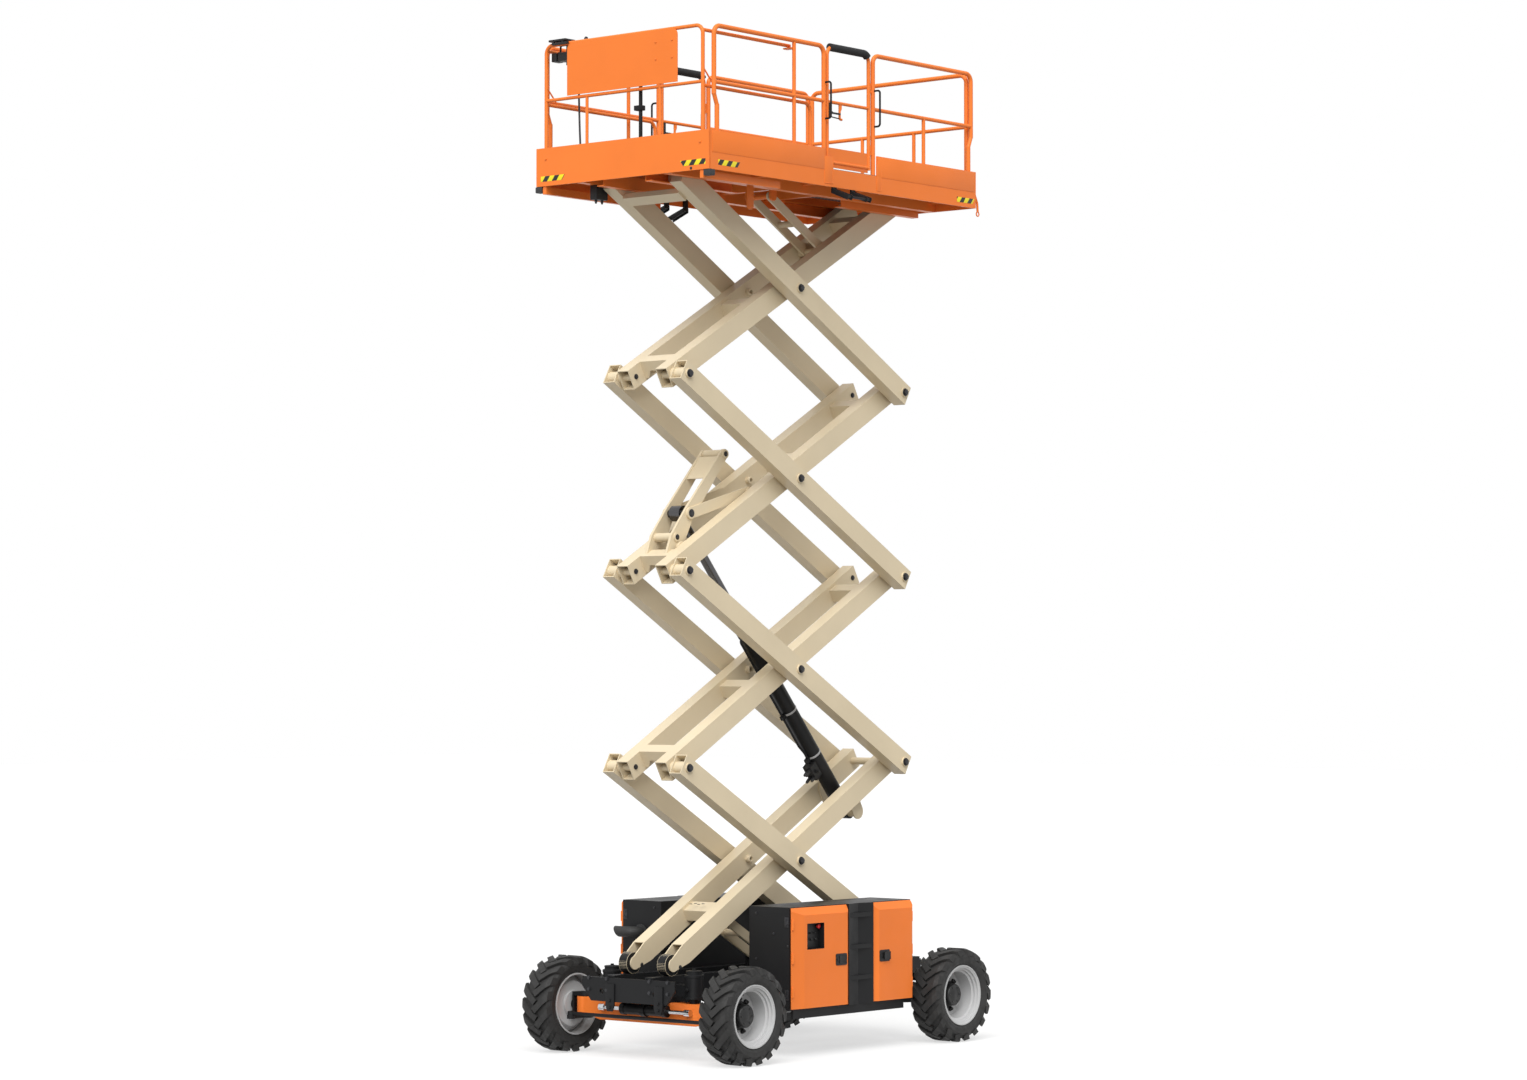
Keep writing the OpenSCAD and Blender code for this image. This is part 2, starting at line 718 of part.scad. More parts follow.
module tie_rod() {
  z = axle_z - axle_half_z - fork_gap - 4 + tie_end_half + side_gap;
  color("#2b2b2d") translate([axle_x + steer_arm, 0, z])
    difference() {
      union() {
        round_y(tie_end_half - 2, [-kingpin_y, kingpin_y]);
        both_sides()
          translate([0, kingpin_y, 0]) round_z(tie_boss_r - 4, [-tie_end_half, tie_end_half]);
      }
      both_sides()
        translate([0, kingpin_y, 0]) round_z(tie_pin_r + run_gap, [-2 * tie_end_half, 2 * tie_end_half]);
    }
}
module rear_axle() {
  color("#2b2b2d") translate([-axle_x, 0, axle_z]) {
    plate_x([[-kingpin_y, -axle_half_z], [-axle_arch_y, -axle_half_z - axle_arch / 2],
      [axle_arch_y, -axle_half_z - axle_arch / 2], [kingpin_y, -axle_half_z], [kingpin_y, axle_half_z],
      [-kingpin_y, axle_half_z]], [-axle_half_x, axle_half_x]);
    both_sides() {
      round_y(110, [kingpin_y - 30, kingpin_y + 70]);
      round_y(spindle_r, [kingpin_y + 69, tyre_mid_y - spindle_end]);
    }
    translate([0, 0, -35]) round_y(105, [-140, 140]);
  }
}

// Wheels: a deep-dish rim with its hub, and a lugged tyre
module wheel_place(x, s) {
  translate([x, s * tyre_mid_y, axle_z])
    mirror([0, s > 0 ? 0 : 1, 0])
      children();
}
module wheel() {
  bore = spindle_r + run_gap;
  color("silver") rotate([-90, 0, 0]) rotate_extrude($fn = 72)
    polygon([[0, hub_face + 4], [40, hub_face + 4], [hub_r - 8, hub_face], [hub_r, hub_face - 12],
      [hub_r, disc_y], [rim_r - 70, disc_y], [rim_r - 62, rim_half - 62], [rim_r - 46, rim_half - 54],
      [rim_r - 46, rim_half - 34], [rim_r - 28, rim_half - 28], [rim_r - 28, rim_half - 10],
      [rim_r - 12, rim_half - 4], [rim_r - 12, rim_half], [rim_r - 1, rim_half], [rim_r - 1, -rim_half],
      [rim_r - 14, -rim_half],
      [rim_r - 14, 4], [rim_r - 76, disc_y - disc_t], [hub_r + 18, disc_y - disc_t],
      [hub_r + 18, disc_y - 2 * disc_t], [bore, disc_y - 2 * disc_t], [bore, 4 - spindle_end],
      [0, 4 - spindle_end]]);
}
module tyre() {
  r = tyre_d / 2;
  w = tyre_w / 2;
  tread = r - lug_h;
  color("#222222") {
    rotate([-90, 0, 0]) rotate_extrude($fn = 72)
      polygon([[rim_r, -w + 30], [rim_r + 30, -w + 12], [rim_r + 70, -w + 6], [tread - 35, -w + 12],
        [tread - 8, -w + 34], [tread, -w + 70], [tread, w - 70], [tread - 8, w - 34], [tread - 35, w - 12],
        [rim_r + 70, w - 6], [rim_r + 30, w - 12], [rim_r, w - 30]]);
    // Chevron lugs, staggered left and right, that wrap over the shoulders
    intersection() {
      rotate([-90, 0, 0]) rotate_extrude($fn = 72)
        polygon([[tread - 50, -w + 16], [tread - 50, -w], [r - 14, -w + 10], [r, -w + 50], [r, w - 50],
          [r - 14, w - 10], [tread - 50, w], [tread - 50, w - 16], [tread - 10, w - 40], [tread - 4, 0],
          [tread - 10, -w + 40]]);
      for (k = [0 : lugs - 1], s = [-1, 1])
        rotate([0, (k + s / 4) * 360 / lugs, 0])
          side(s)
            rotate([0, 0, lug_turn])
              block([-lug_w / 2, lug_w / 2], [-12, 1.6 * w], [tread - 60, r + 10]);
    }
  }
}

// Cabinets on the left and right, open towards their doors
module cabinet() {
  outer = cab_out_y - door_t - side_gap;
  mid = (strip_rear_x + strip_front_x) / 2;
  color("#2b2b2d") {
    block([cab_rear_x, cab_front_x], [cab_in_y, outer], [cab_low_z, cab_low_z + cab_t]);
    block([cab_rear_x, cab_front_x], [cab_in_y, outer], [cab_top_z - cab_t, cab_top_z]);
    block([cab_rear_x, cab_front_x], [cab_in_y, cab_in_y + cab_t], [cab_low_z, cab_top_z]);
    block([cab_front_x - cab_t, cab_front_x], [cab_in_y, outer], [cab_low_z, cab_top_z]);
    block([cab_rear_x, cab_rear_x + cab_t], [cab_in_y, outer], [cab_low_z, cab_top_z]);
    // Strip between the doors: creased inwards along its middle, with three straps across it
    translate([0, 0, cab_low_z])
      linear_extrude(cab_top_z - cab_low_z)
        polygon([[strip_rear_x, cab_out_y - 6], [mid, cab_out_y - crease], [strip_front_x, cab_out_y - 6],
          [strip_front_x, outer - cab_t], [strip_rear_x, outer - cab_t]]);
    for (z = strip_strap_z)
      block([strip_rear_x, strip_front_x], [outer - cab_t, cab_out_y - 10], [z, z + strip_strap_h]);
    block([cab_rear_x + skirt_in[0], cab_front_x - skirt_in[1]], [outer - cab_t, outer],
      [cab_low_z - skirt_h, cab_low_z + 1]);
  }
}
module door(x, strip_at, fold) {
  hinge_x = strip_at == 0 ? x[1] - hinge_in : x[0] + hinge_in;
  cut = [strip_at == 1 ? hinge_in + 4 : 0, strip_at == 0 ? hinge_in + 4 : 0];
  low = cab_low_z + door_lift;
  top = cab_top_z - 6;
  back = cab_out_y - door_t;
  color("#f0803c") difference() {
    intersection() {
      plate_x([[back, low], [cab_out_y, low], [cab_out_y, top - top_fold[1]], [cab_out_y - top_fold[0], top],
        [back, top]], x);
      translate([0, 0, low])
        linear_extrude(top - low)
          polygon([[x[0], back + cut[0]], [x[0] + cut[0], back], [x[1] - cut[1], back], [x[1], back + cut[1]],
            [x[1], cab_out_y - fold[0]], [x[1] - fold[1], cab_out_y], [x[0] + bevel, cab_out_y],
            [x[0], cab_out_y - bevel / 2]]);
    }
    block([x[0] + 2 * bevel, x[1] - fold[1]], [back - 1, cab_out_y - door_skin],
      [low + bevel, top - top_fold[1]]);
    children();
  }
  color("#f0803c")
    for (z = [low + 100, (low + top - hinge_len) / 2, top - 100 - hinge_len])
      translate([hinge_x, cab_out_y - hinge_back, z]) round_z(hinge_r, [0, hinge_len]);
}
module front_door(controls) {
  x = [panel_x[0], panel_x[1]];
  door([strip_front_x + door_gap, cab_front_x - 3], 0, front_door_fold)
    if (controls)
      block(x, [cab_out_y - 2 * door_t, cab_out_y + 1], panel_z);
  // Box behind the opening for the ground controls
  if (controls)
    color("#222222") difference() {
      block([x[0] - 10, x[1] + 10], [cab_out_y - panel_deep, cab_out_y - door_skin + 1],
        [panel_z[0] - 10, panel_z[1] + 10]);
      block(x, [cab_out_y - panel_deep + 8, cab_out_y], panel_z);
    }
}
module rear_door() {
  door([cab_rear_x + 3, strip_rear_x - door_gap], 1, rear_door_fold);
}
// Engine: one plain block in the right cabinet, and its bent tailpipe
module engine() {
  x = cab_front_x + pipe_out;
  color("gray") {
    block(engine_x, engine_y, [cab_low_z + cab_t, cab_low_z + cab_t + engine_h]);
    tube_run([[cab_front_x + seat_gap, pipe_y, pipe_z], [x, pipe_y, pipe_z], [x, pipe_y - pipe_side, pipe_z]],
      pipe_r, pipe_bend);
  }
}

// Platform frame with its tracks, side boards and the lugs of the top link
module head_track(x, y, web) {
  half = head_roller_r + seat_gap;
  block(x, y, [half, half + track_t]);
  block(x, y, [-half - track_t, -half]);
  block(x, web, [-half - track_t, half + track_t]);
}
module deck_frame() {
  beam_z = [head_z + head_roller_r + seat_gap + track_t, head_z + floor_rise];
  color("#f0803c") {
    both_sides() {
      block([-deck_x + toe_t, main_front_x], side_beam_y, [head_z - 10, head_z + floor_rise]);
      block([-deck_x, main_front_x], [board_y - toe_t, board_y], [board_low_z, head_z + floor_rise]);
      block([-deck_x, gate_rear_x - 40], [board_y - toe_t, board_y],
        [head_z + floor_rise - 1, board_low_z + toe_h]);
      block([gate_front_x + 40, main_front_x], [board_y - toe_t, board_y],
        [head_z + floor_rise - 1, board_low_z + toe_h]);
      translate([0, 0, head_z]) {
        head_track(track_x, head_track_front_y, [head_track_front_y[0], head_track_front_y[0] + 6]);
        mirror([1, 0, 0])
          head_track(track_x, head_track_rear_y, [head_track_rear_y[1] - 6, head_track_rear_y[1]]);
      }
      block([track_x[0], track_x[0] + 60], [head_track_front_y[0], side_beam_y[0] + 1], beam_z);
      for (x = deck_rib_x)
        block([x, x + 60], [side_beam_y[1] - 1, board_y - toe_t + 1], [head_z + 60, head_z + floor_rise]);
      block([-45, 45], link_lug_y, [head_z, head_z + floor_rise]);
      translate([0, 0, head_z]) round_y(45, link_lug_y);
    }
    for (x = deck_cross_x)
      block([x, x + 60], [-side_beam_y[0] - 1, side_beam_y[0] + 1], beam_z);
    block([main_front_x - 45, main_front_x], [-side_beam_y[1], side_beam_y[1]], beam_z);
    translate([0, 0, head_z]) round_y(link_pin_r, [-link_lug_y[1], link_lug_y[1]]);
    block([-deck_x, -deck_x + toe_t], [-board_y, board_y], [board_low_z, board_low_z + toe_h]);
  }
}
module deck_floor() {
  color("gray")
    block([-deck_x + toe_t, main_front_x], [-board_y + toe_t, board_y - toe_t], [head_z + floor_rise, floor_z]);
}
// The foot of a corner post, set back from the post above it
module stepped_foot(x, step, z) {
  strut([x, post_y, z[1]], [x + step, post_y, z[0]], rail_r - 2);
  strut([x + step, post_y, floor_z], [x + step, post_y, z[0] + 8], rail_r);
}
module guard_rails() {
  kink_z = [floor_z + mid_rail_h - 200, floor_z + mid_rail_h - 100];
  color("#f0803c") {
    both_sides() {
      // Rear frame of a side: from the gate's rear post to the rear corner, stepped in near its foot
      tube_run([[gate_rear_x - rail_r, post_y, floor_z], [gate_rear_x - rail_r, post_y, top_rail_z],
        [rear_post_x, post_y, top_rail_z], [rear_post_x, post_y, kink_z[1] - 8]], rail_r, rail_bend);
      stepped_foot(rear_post_x, kink, kink_z);
      strut([gate_rear_x - rail_r, post_y, mid_rail_z], [rear_post_x, post_y, mid_rail_z], rail_r - 3);
      strut([rear_stud_x, post_y, floor_z], [rear_stud_x, post_y, mid_rail_z], rail_r - 4);
      gate_leaf();
      // Front frame of a side: from the gate's front post forward
      tube_run([[gate_front_x + rail_r, post_y, floor_z], [gate_front_x + rail_r, post_y, top_rail_z],
        [front_post_x, post_y, top_rail_z], [front_post_x, post_y, kink_z[1] - 8]], rail_r, rail_bend);
      stepped_foot(front_post_x, -kink, kink_z);
      strut([gate_front_x + rail_r, post_y, mid_rail_z], [front_post_x, post_y, mid_rail_z], rail_r - 3);
      strut([mid_post_x, post_y, floor_z], [mid_post_x, post_y, top_rail_z], rail_r - 4);
      // Rest under the extension's top rail
      block([mid_post_x - 20, mid_post_x + 40], [ext_post_y - 2 * ext_rail_r, post_y],
        [ext_side_top_z - ext_rail_r - 16, ext_side_top_z - ext_rail_r - 4]);
    }
    // Frame across the rear
    tube_run([[rear_post_x, -rear_frame_y, floor_z], [rear_post_x, -rear_frame_y, top_rail_z],
      [rear_post_x, rear_frame_y, top_rail_z], [rear_post_x, rear_frame_y, floor_z]], rail_r, rail_bend);
    strut([rear_post_x, -rear_frame_y, mid_rail_z], [rear_post_x, rear_frame_y, mid_rail_z], rail_r - 3);
    for (y = [-rear_frame_y, rear_frame_y] / 3)
      strut([rear_post_x, y, floor_z], [rear_post_x, y, mid_rail_z], rail_r - 4);
  }
}
// Gate: a tube frame with a toe plate, hinged on the rear post
gate_r = 17;
gate_gap = 8;
leaf_r = 9;
leaf_half = 30;
gate_hinge_x = gate_rear_x + leaf_r + 3;
gate_post_x = gate_hinge_x + leaf_r + gate_r + 4;
gate_low_z = floor_z + 40;
gate_hinge_z = [gate_low_z + 200, mid_rail_z + 200];
module gate() {
  x1 = gate_front_x - gate_r - gate_gap;
  color("#f0803c") {
    tube_run([[gate_post_x, post_y, gate_low_z], [gate_post_x, post_y, top_rail_z], [x1, post_y, top_rail_z],
      [x1, post_y, gate_low_z]], gate_r, rail_bend);
    for (z = [gate_low_z + 20, mid_rail_z])
      strut([gate_post_x, post_y, z], [x1, post_y, z], gate_r - 2);
    block([gate_post_x, x1], [post_y - 4, post_y + 4], [gate_low_z + 20, gate_low_z + 150]);
    for (z = gate_hinge_z)
      translate([gate_hinge_x, post_y, z]) {
        round_z(leaf_r, [-leaf_half, leaf_half]);
        block([0, gate_post_x - gate_hinge_x], [-5, 5], [-leaf_half, leaf_half]);
      }
  }
}
// The half of a gate's hinge that stays on the rear post
module gate_leaf() {
  for (z = gate_hinge_z)
    translate([gate_hinge_x, post_y, z]) {
      round_z(leaf_r, [-2 * leaf_half, -leaf_half - side_gap]);
      block([gate_rear_x - rail_r - gate_hinge_x, 0], [-5, 5], [-2 * leaf_half, -leaf_half - side_gap]);
    }
}
module steps_and_handles() {
  inside = board_y - toe_t - seat_gap;
  outside = board_y + step_out;
  top = board_low_z + 90;
  low = board_low_z - step_drop;
  bend_z = board_low_z - 2 * step_t;
  grab_y = post_y + rail_r + seat_gap;
  color("#222222") both_sides() {
    for (x = [step_x - step_half, step_x + step_half - step_w])
      plate_x([[inside - step_t, top], [inside, top], [inside, bend_z + step_t / 2], [outside, low + step_t],
        [outside - step_t / 2, low - step_t / 2], [inside - step_t, bend_z - step_t / 2]], [x, x + step_w]);
    translate([0, outside - step_t / 2, low + step_t / 4])
      round_x(step_r, [step_x - step_half, step_x + step_half]);
    for (x = [gate_front_x + rail_r, gate_rear_x - rail_r])
      tube_run([[x, grab_y, top_rail_z - 650], [x, grab_y + 62, top_rail_z - 650],
        [x, grab_y + 62, top_rail_z - 325], [x, grab_y, top_rail_z - 325]], grab_r, 25);
  }
}

// Sliding extension: floor, front board with its panel, and rails
module extension_deck() {
  color("gray")
    block([ext_rear_x, ext_front_x], [-ext_plate_y - 1, ext_plate_y + 1], [ext_floor_z, ext_top_z]);
}
module extension_front() {
  plate = [ext_rail_x + ext_rail_r + seat_gap, ext_rail_x + ext_rail_r + 6];
  low = mid_rail_z + 20;
  color("#f0803c") {
    block([ext_front_x, deck_x], [-board_y, board_y], [board_low_z, board_low_z + toe_h]);
    both_sides() {
      block([ext_rear_x, ext_front_x + 1], [ext_plate_y - 8, ext_plate_y], [ext_top_z, ext_top_z + 170]);
      // Runner under the platform's edge and the bracket that holds it
      block([runner_x, ext_front_x + 1], ext_runner_y, [head_z - 80, head_z - 15]);
      block([ext_front_x - 60, ext_front_x + 1], ext_runner_y, [head_z - 80, head_z + 60]);
    }
    // Panel on the front rails with rounded upper corners
    block(plate, [-shield_y, shield_y], [low, top_rail_z - shield_r]);
    block(plate, [-shield_y + shield_r, shield_y - shield_r], [low, top_rail_z]);
    both_sides()
      translate([0, shield_y - shield_r, top_rail_z - shield_r]) round_x(shield_r, plate);
  }
}
module extension_rails() {
  side_mid_z = mid_rail_z - 2 * ext_rail_r;
  post_x = ext_rear_x + 20;
  color("#f0803c") {
    both_sides() {
      tube_run([[post_x, ext_post_y, ext_top_z], [post_x, ext_post_y, side_mid_z],
        [ext_rail_x, ext_post_y, side_mid_z]], ext_rail_r - 1, rail_bend);
      strut([mid_post_x - 10, ext_post_y, ext_side_top_z], [ext_rail_x, ext_post_y, ext_side_top_z],
        ext_rail_r - 1);
      strut([ext_rail_x, ext_post_y, side_mid_z + 160], [ext_rail_x - 160, ext_post_y, side_mid_z], brace_r);
      strut([ext_rail_x, front_stud_y, ext_top_z], [ext_rail_x, front_stud_y, mid_rail_z], ext_rail_r - 3);
    }
    tube_run([[ext_rail_x, -ext_post_y, ext_top_z], [ext_rail_x, -ext_post_y, top_rail_z],
      [ext_rail_x, ext_post_y, top_rail_z], [ext_rail_x, ext_post_y, ext_top_z]], ext_rail_r, rail_bend);
    strut([ext_rail_x, -ext_post_y, mid_rail_z], [ext_rail_x, ext_post_y, mid_rail_z], ext_rail_r - 2);
  }
}
console_x = [ext_rail_x - 190, ext_rail_x - ext_rail_r - seat_gap];
console_y = [-800, -560];
console_z = [top_rail_z - 190, top_rail_z + 10];
module console() {
  color("#222222")
    plate_y([[console_x[0], console_z[0]], [console_x[1], console_z[0]], [console_x[1], console_z[1]],
      [console_x[1] - 50, console_z[1]], [console_x[0], console_z[1] - 80]], console_y);
}
// Cable from the console down to the deck
cable_r = 9;
cable_route = [[-116, -640, 0], [-116, -640, 0.05], [-111, -632, 0.19], [-101, -620, 0.34], [-91, -606, 0.5],
  [-86, -596, 0.66], [-88, -590, 0.81], [-95, -588, 0.94], [-98, -588, 1]];
cable_sides = 8;
function cable_at(i) = let (p = cable_route[max(0, min(len(cable_route) - 1, i))])
  [ext_rail_x + p[0], p[1], console_z[0] + p[2] * (ext_top_z - console_z[0])];
function cable_dir(i) = (i == 0 || i == len(cable_route) - 1) ? [0, 0, -1] :
  unit(cable_at(i + 1) - cable_at(i - 1));
function ring(i) = let (d = cable_dir(i), u = unit(cross([0, 1, 0], d)), v = cross(d, u))
  [for (k = [0 : cable_sides - 1]) let (a = 360 * k / cable_sides)
    cable_at(i) + cable_r * (cos(a) * u + sin(a) * v)];
module console_cable() {
  n = len(cable_route);
  points = [for (i = [0 : n - 1]) each ring(i)];
  walls = [for (i = [0 : n - 2]) for (k = [0 : cable_sides - 1])
    let (a = i * cable_sides + k, b = i * cable_sides + (k + 1) % cable_sides)
      [a, b, b + cable_sides, a + cable_sides]];
  ends = [[for (k = [cable_sides - 1 : -1 : 0]) k],
    [for (k = [0 : cable_sides - 1]) (n - 1) * cable_sides + k]];
  color("#222222")
    polyhedron(points = points, faces = concat(walls, ends));
}

chassis_frame();
front_axle();
rear_axle();
knuckle();  // knuckle_left
side(-1) knuckle();  // knuckle_right
tie_rod();
steering_rod();
wheel_place(axle_x, 1) tyre();  // tyre_front_left
wheel_place(axle_x, -1) tyre();  // tyre_front_right
wheel_place(-axle_x, 1) tyre();  // tyre_rear_left
wheel_place(-axle_x, -1) tyre();  // tyre_rear_right
wheel_place(axle_x, 1) wheel();  // wheel_front_left
wheel_place(axle_x, -1) wheel();  // wheel_front_right
wheel_place(-axle_x, 1) wheel();  // wheel_rear_left
wheel_place(-axle_x, -1) wheel();  // wheel_rear_right
cabinet();  // cabinet_left
side(-1) cabinet();  // cabinet_right
front_door(true);  // door_front_left
side(-1) front_door(false);  // door_front_right
rear_door();  // door_rear_left
side(-1) rear_door();  // door_rear_right
engine();
base_link();
inner_arms_1();
inner_arms_2();
inner_arms_3();
inner_arms_4();
outer_arms_1();
outer_arms_2();
outer_arms_3();
outer_arms_4();
lift_barrel();
lift_rod();
top_link();
deck_frame();
deck_floor();
guard_rails();
gate();  // gate_left
side(-1) gate();  // gate_right
steps_and_handles();
extension_deck();
extension_front();
extension_rails();
console();
console_cable();
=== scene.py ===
import json
import math

import bmesh
import bpy
from mathutils import Matrix, Vector


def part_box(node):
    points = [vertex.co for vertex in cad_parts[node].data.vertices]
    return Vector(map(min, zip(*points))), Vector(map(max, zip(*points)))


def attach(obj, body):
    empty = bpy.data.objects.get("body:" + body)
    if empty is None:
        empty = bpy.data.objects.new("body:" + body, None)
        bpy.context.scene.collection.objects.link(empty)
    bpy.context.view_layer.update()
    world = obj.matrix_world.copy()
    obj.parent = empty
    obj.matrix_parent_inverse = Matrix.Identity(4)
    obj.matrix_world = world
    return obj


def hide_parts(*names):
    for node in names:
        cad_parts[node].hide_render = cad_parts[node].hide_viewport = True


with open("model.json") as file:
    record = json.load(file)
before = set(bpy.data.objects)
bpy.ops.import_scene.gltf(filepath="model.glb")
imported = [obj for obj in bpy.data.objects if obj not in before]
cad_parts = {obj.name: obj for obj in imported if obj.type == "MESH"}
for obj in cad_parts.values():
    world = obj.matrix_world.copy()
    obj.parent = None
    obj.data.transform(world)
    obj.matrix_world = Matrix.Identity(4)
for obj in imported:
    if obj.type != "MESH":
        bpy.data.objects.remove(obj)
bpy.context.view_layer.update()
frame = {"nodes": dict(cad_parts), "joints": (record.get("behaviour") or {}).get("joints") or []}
nodes = frame["nodes"]
scene = bpy.context.scene

# Camera
# The long lens stands a little above a person's height, off the front left corner,
# and tips up slightly so that the whole raised lift stays in the picture.
lens = bpy.data.cameras.new("camera")
lens.sensor_width = 36.0
lens.lens = 92.52
lens.clip_end = 300.0
camera = bpy.data.objects.new("camera", lens)
camera.location = (27.297, 22.934, 3.380)
camera.rotation_euler = (math.radians(91.93), 0.0, math.radians(130.0))
scene.collection.objects.link(camera)
scene.camera = camera
scene.view_settings.view_transform = "Standard"

# Console cable
# A black rubber-sheathed control cable, 18 mm thick, that drops from the console
# through the floor of the sliding deck. It hangs free between its two glands.


def shader(name):
    """A new material with its node tree, its shader and a texture coordinate in metres."""
    material = bpy.data.materials.new(name)
    material.use_nodes = True
    tree = material.node_tree
    surface = tree.nodes["Principled BSDF"]
    place = tree.nodes.new("ShaderNodeTexCoord").outputs["Object"]
    return material, tree, surface, place


def noise(tree, place, scale, detail=3.0, rough=0.5):
    """A noise texture's value over the surface, with its grain in lumps per metre."""
    texture = tree.nodes.new("ShaderNodeTexNoise")
    texture.inputs["Scale"].default_value = scale
    texture.inputs["Detail"].default_value = detail
    texture.inputs["Roughness"].default_value = rough
    tree.links.new(place, texture.inputs["Vector"])
    return texture.outputs["Fac"]


def spread(tree, value, low, high, to_low, to_high):
    """Maps a value between two limits, clamped, to another range."""
    node = tree.nodes.new("ShaderNodeMapRange")
    for slot, number in zip(("From Min", "From Max", "To Min", "To Max"), (low, high, to_low, to_high)):
        node.inputs[slot].default_value = number
    tree.links.new(value, node.inputs["Value"])
    return node.outputs["Result"]


def tint(tree, value, dark, light):
    """A colour between two, by a value from 0 to 1."""
    node = tree.nodes.new("ShaderNodeMix")
    node.data_type = "RGBA"
    node.inputs["A"].default_value = (*dark, 1.0)
    node.inputs["B"].default_value = (*light, 1.0)
    tree.links.new(value, node.inputs["Factor"])
    return node.outputs["Result"]


def roughen(tree, surface, height, depth, normal=None):
    """Raises the surface by a height texture, up to a depth in metres."""
    bump = tree.nodes.new("ShaderNodeBump")
    bump.inputs["Strength"].default_value = 1.0
    bump.inputs["Distance"].default_value = depth
    tree.links.new(height, bump.inputs["Height"])
    if normal is not None:
        tree.links.new(normal, bump.inputs["Normal"])
    tree.links.new(bump.outputs["Normal"], surface.inputs["Normal"])


def mottle(tree, surface, place, dark, light, grain, detail=3.0, rough=0.5):
    """Colours the surface between two tones, by a noise with its grain in lumps per metre."""
    value = noise(tree, place, grain, detail, rough)
    tree.links.new(tint(tree, value, dark, light), surface.inputs["Base Color"])


def sheen(tree, surface, place, low, high, grain, detail=3.0):
    """Varies the surface's roughness between two limits, by a noise with its grain in lumps per metre."""
    value = noise(tree, place, grain, detail)
    tree.links.new(spread(tree, value, 0.3, 0.7, low, high), surface.inputs["Roughness"])


cable_rubber, tree, surface, place = shader("cable_rubber")
mottle(tree, surface, place, (0.012, 0.012, 0.013), (0.03, 0.03, 0.031), 30.0)
sheen(tree, surface, place, 0.45, 0.65, 90.0)
roughen(tree, surface, noise(tree, place, 700.0), 0.0004)

cable_r = 0.009
rail_x = 1.8757
cable_top = 8.7654
cable_foot = 7.8709
cable_keys = [Vector((rail_x + x, y, cable_top - drop * (cable_top - cable_foot))) for x, y, drop in (
    (-0.116, -0.640, 0.0), (-0.116, -0.640, 0.05), (-0.111, -0.632, 0.19), (-0.101, -0.620, 0.34),
    (-0.091, -0.606, 0.5), (-0.086, -0.596, 0.66), (-0.088, -0.590, 0.81), (-0.095, -0.588, 0.94),
    (-0.098, -0.588, 1.0))]
cable_line = []
for k, (here, there) in enumerate(zip(cable_keys, cable_keys[1:])):
    before = cable_keys[max(k - 1, 0)]
    after = cable_keys[min(k + 2, len(cable_keys) - 1)]
    cable_line += [here, (9 * (here + there) - before - after) / 16]
cable_line.append(cable_keys[-1])
route = bpy.data.curves.new("console_cable_sheath", "CURVE")
route.dimensions = "3D"
route.bevel_depth = cable_r
route.bevel_resolution = 5
route.resolution_u = 8
route.use_fill_caps = True
spline = route.splines.new("BEZIER")
spline.bezier_points.add(len(cable_line) - 1)
for knot, at in zip(spline.bezier_points, cable_line):
    knot.co = at
    knot.handle_left_type = knot.handle_right_type = "AUTO"
route.materials.append(cable_rubber)
cable = bpy.data.objects.new("console_cable_sheath", route)
scene.collection.objects.link(cable)
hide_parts("console_cable")
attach(cable, "extension")

# Floor and light
# A plain pale studio floor that fades to white, a soft key light from the front and
# an even white surround.
floor_mesh = bpy.data.meshes.new("studio_floor")
reach = 90.0
floor_mesh.from_pydata([(-reach, -reach, 0), (reach, -reach, 0), (reach, reach, 0), (-reach, reach, 0)],
                       [], [(0, 1, 2, 3)])
floor = bpy.data.objects.new("studio_floor", floor_mesh)
scene.collection.objects.link(floor)


def seen_rays(tree):
    """1 for what the eye, a gloss or a glass sees, 0 for light that falls on the object."""
    rays = tree.nodes.new("ShaderNodeLightPath")
    both = tree.nodes.new("ShaderNodeMath")
    both.operation = "MAXIMUM"
    tree.links.new(rays.outputs["Is Camera Ray"], both.inputs[0])
    tree.links.new(rays.outputs["Is Glossy Ray"], both.inputs[1])
    every = tree.nodes.new("ShaderNodeMath")
    every.operation = "MAXIMUM"
    tree.links.new(both.outputs[0], every.inputs[0])
    tree.links.new(rays.outputs["Is Transmission Ray"], every.inputs[1])
    return every.outputs[0]


floor_white, tree, surface, place = shader("floor_white")
mottle(tree, surface, place, (0.34, 0.34, 0.34), (0.36, 0.36, 0.355), 0.6)
surface.inputs["Roughness"].default_value = 0.9
surface.inputs["Specular IOR Level"].default_value = 0.1
surface.inputs["Emission Color"].default_value = (1.0, 1.0, 1.0, 1.0)
tree.links.new(spread(tree, seen_rays(tree), 0.0, 1.0, 0.0, 0.62), surface.inputs["Emission Strength"])
floor_mesh.materials.append(floor_white)

surround = bpy.data.worlds.new("surround")
scene.world = surround
surround.use_nodes = True
tree = surround.node_tree
background = tree.nodes["Background"]
background.inputs["Color"].default_value = (1.0, 1.0, 1.0, 1.0)
tree.links.new(spread(tree, seen_rays(tree), 0.0, 1.0, 0.55, 1.0), background.inputs["Strength"])

key = bpy.data.lights.new("key", "SUN")
key.energy = 3.4
key.angle = math.radians(55.0)
key_lamp = bpy.data.objects.new("key", key)
key_lamp.rotation_euler = Vector((-0.586, -0.38, -0.716)).to_track_quat("-Z", "Y").to_euler()
scene.collection.objects.link(key_lamp)

# Chassis frame
# Welded plate and channel, shot-blasted and sprayed in black two-pack paint, with
# bolted end plates. The axles, knuckles and steering links hang below it.


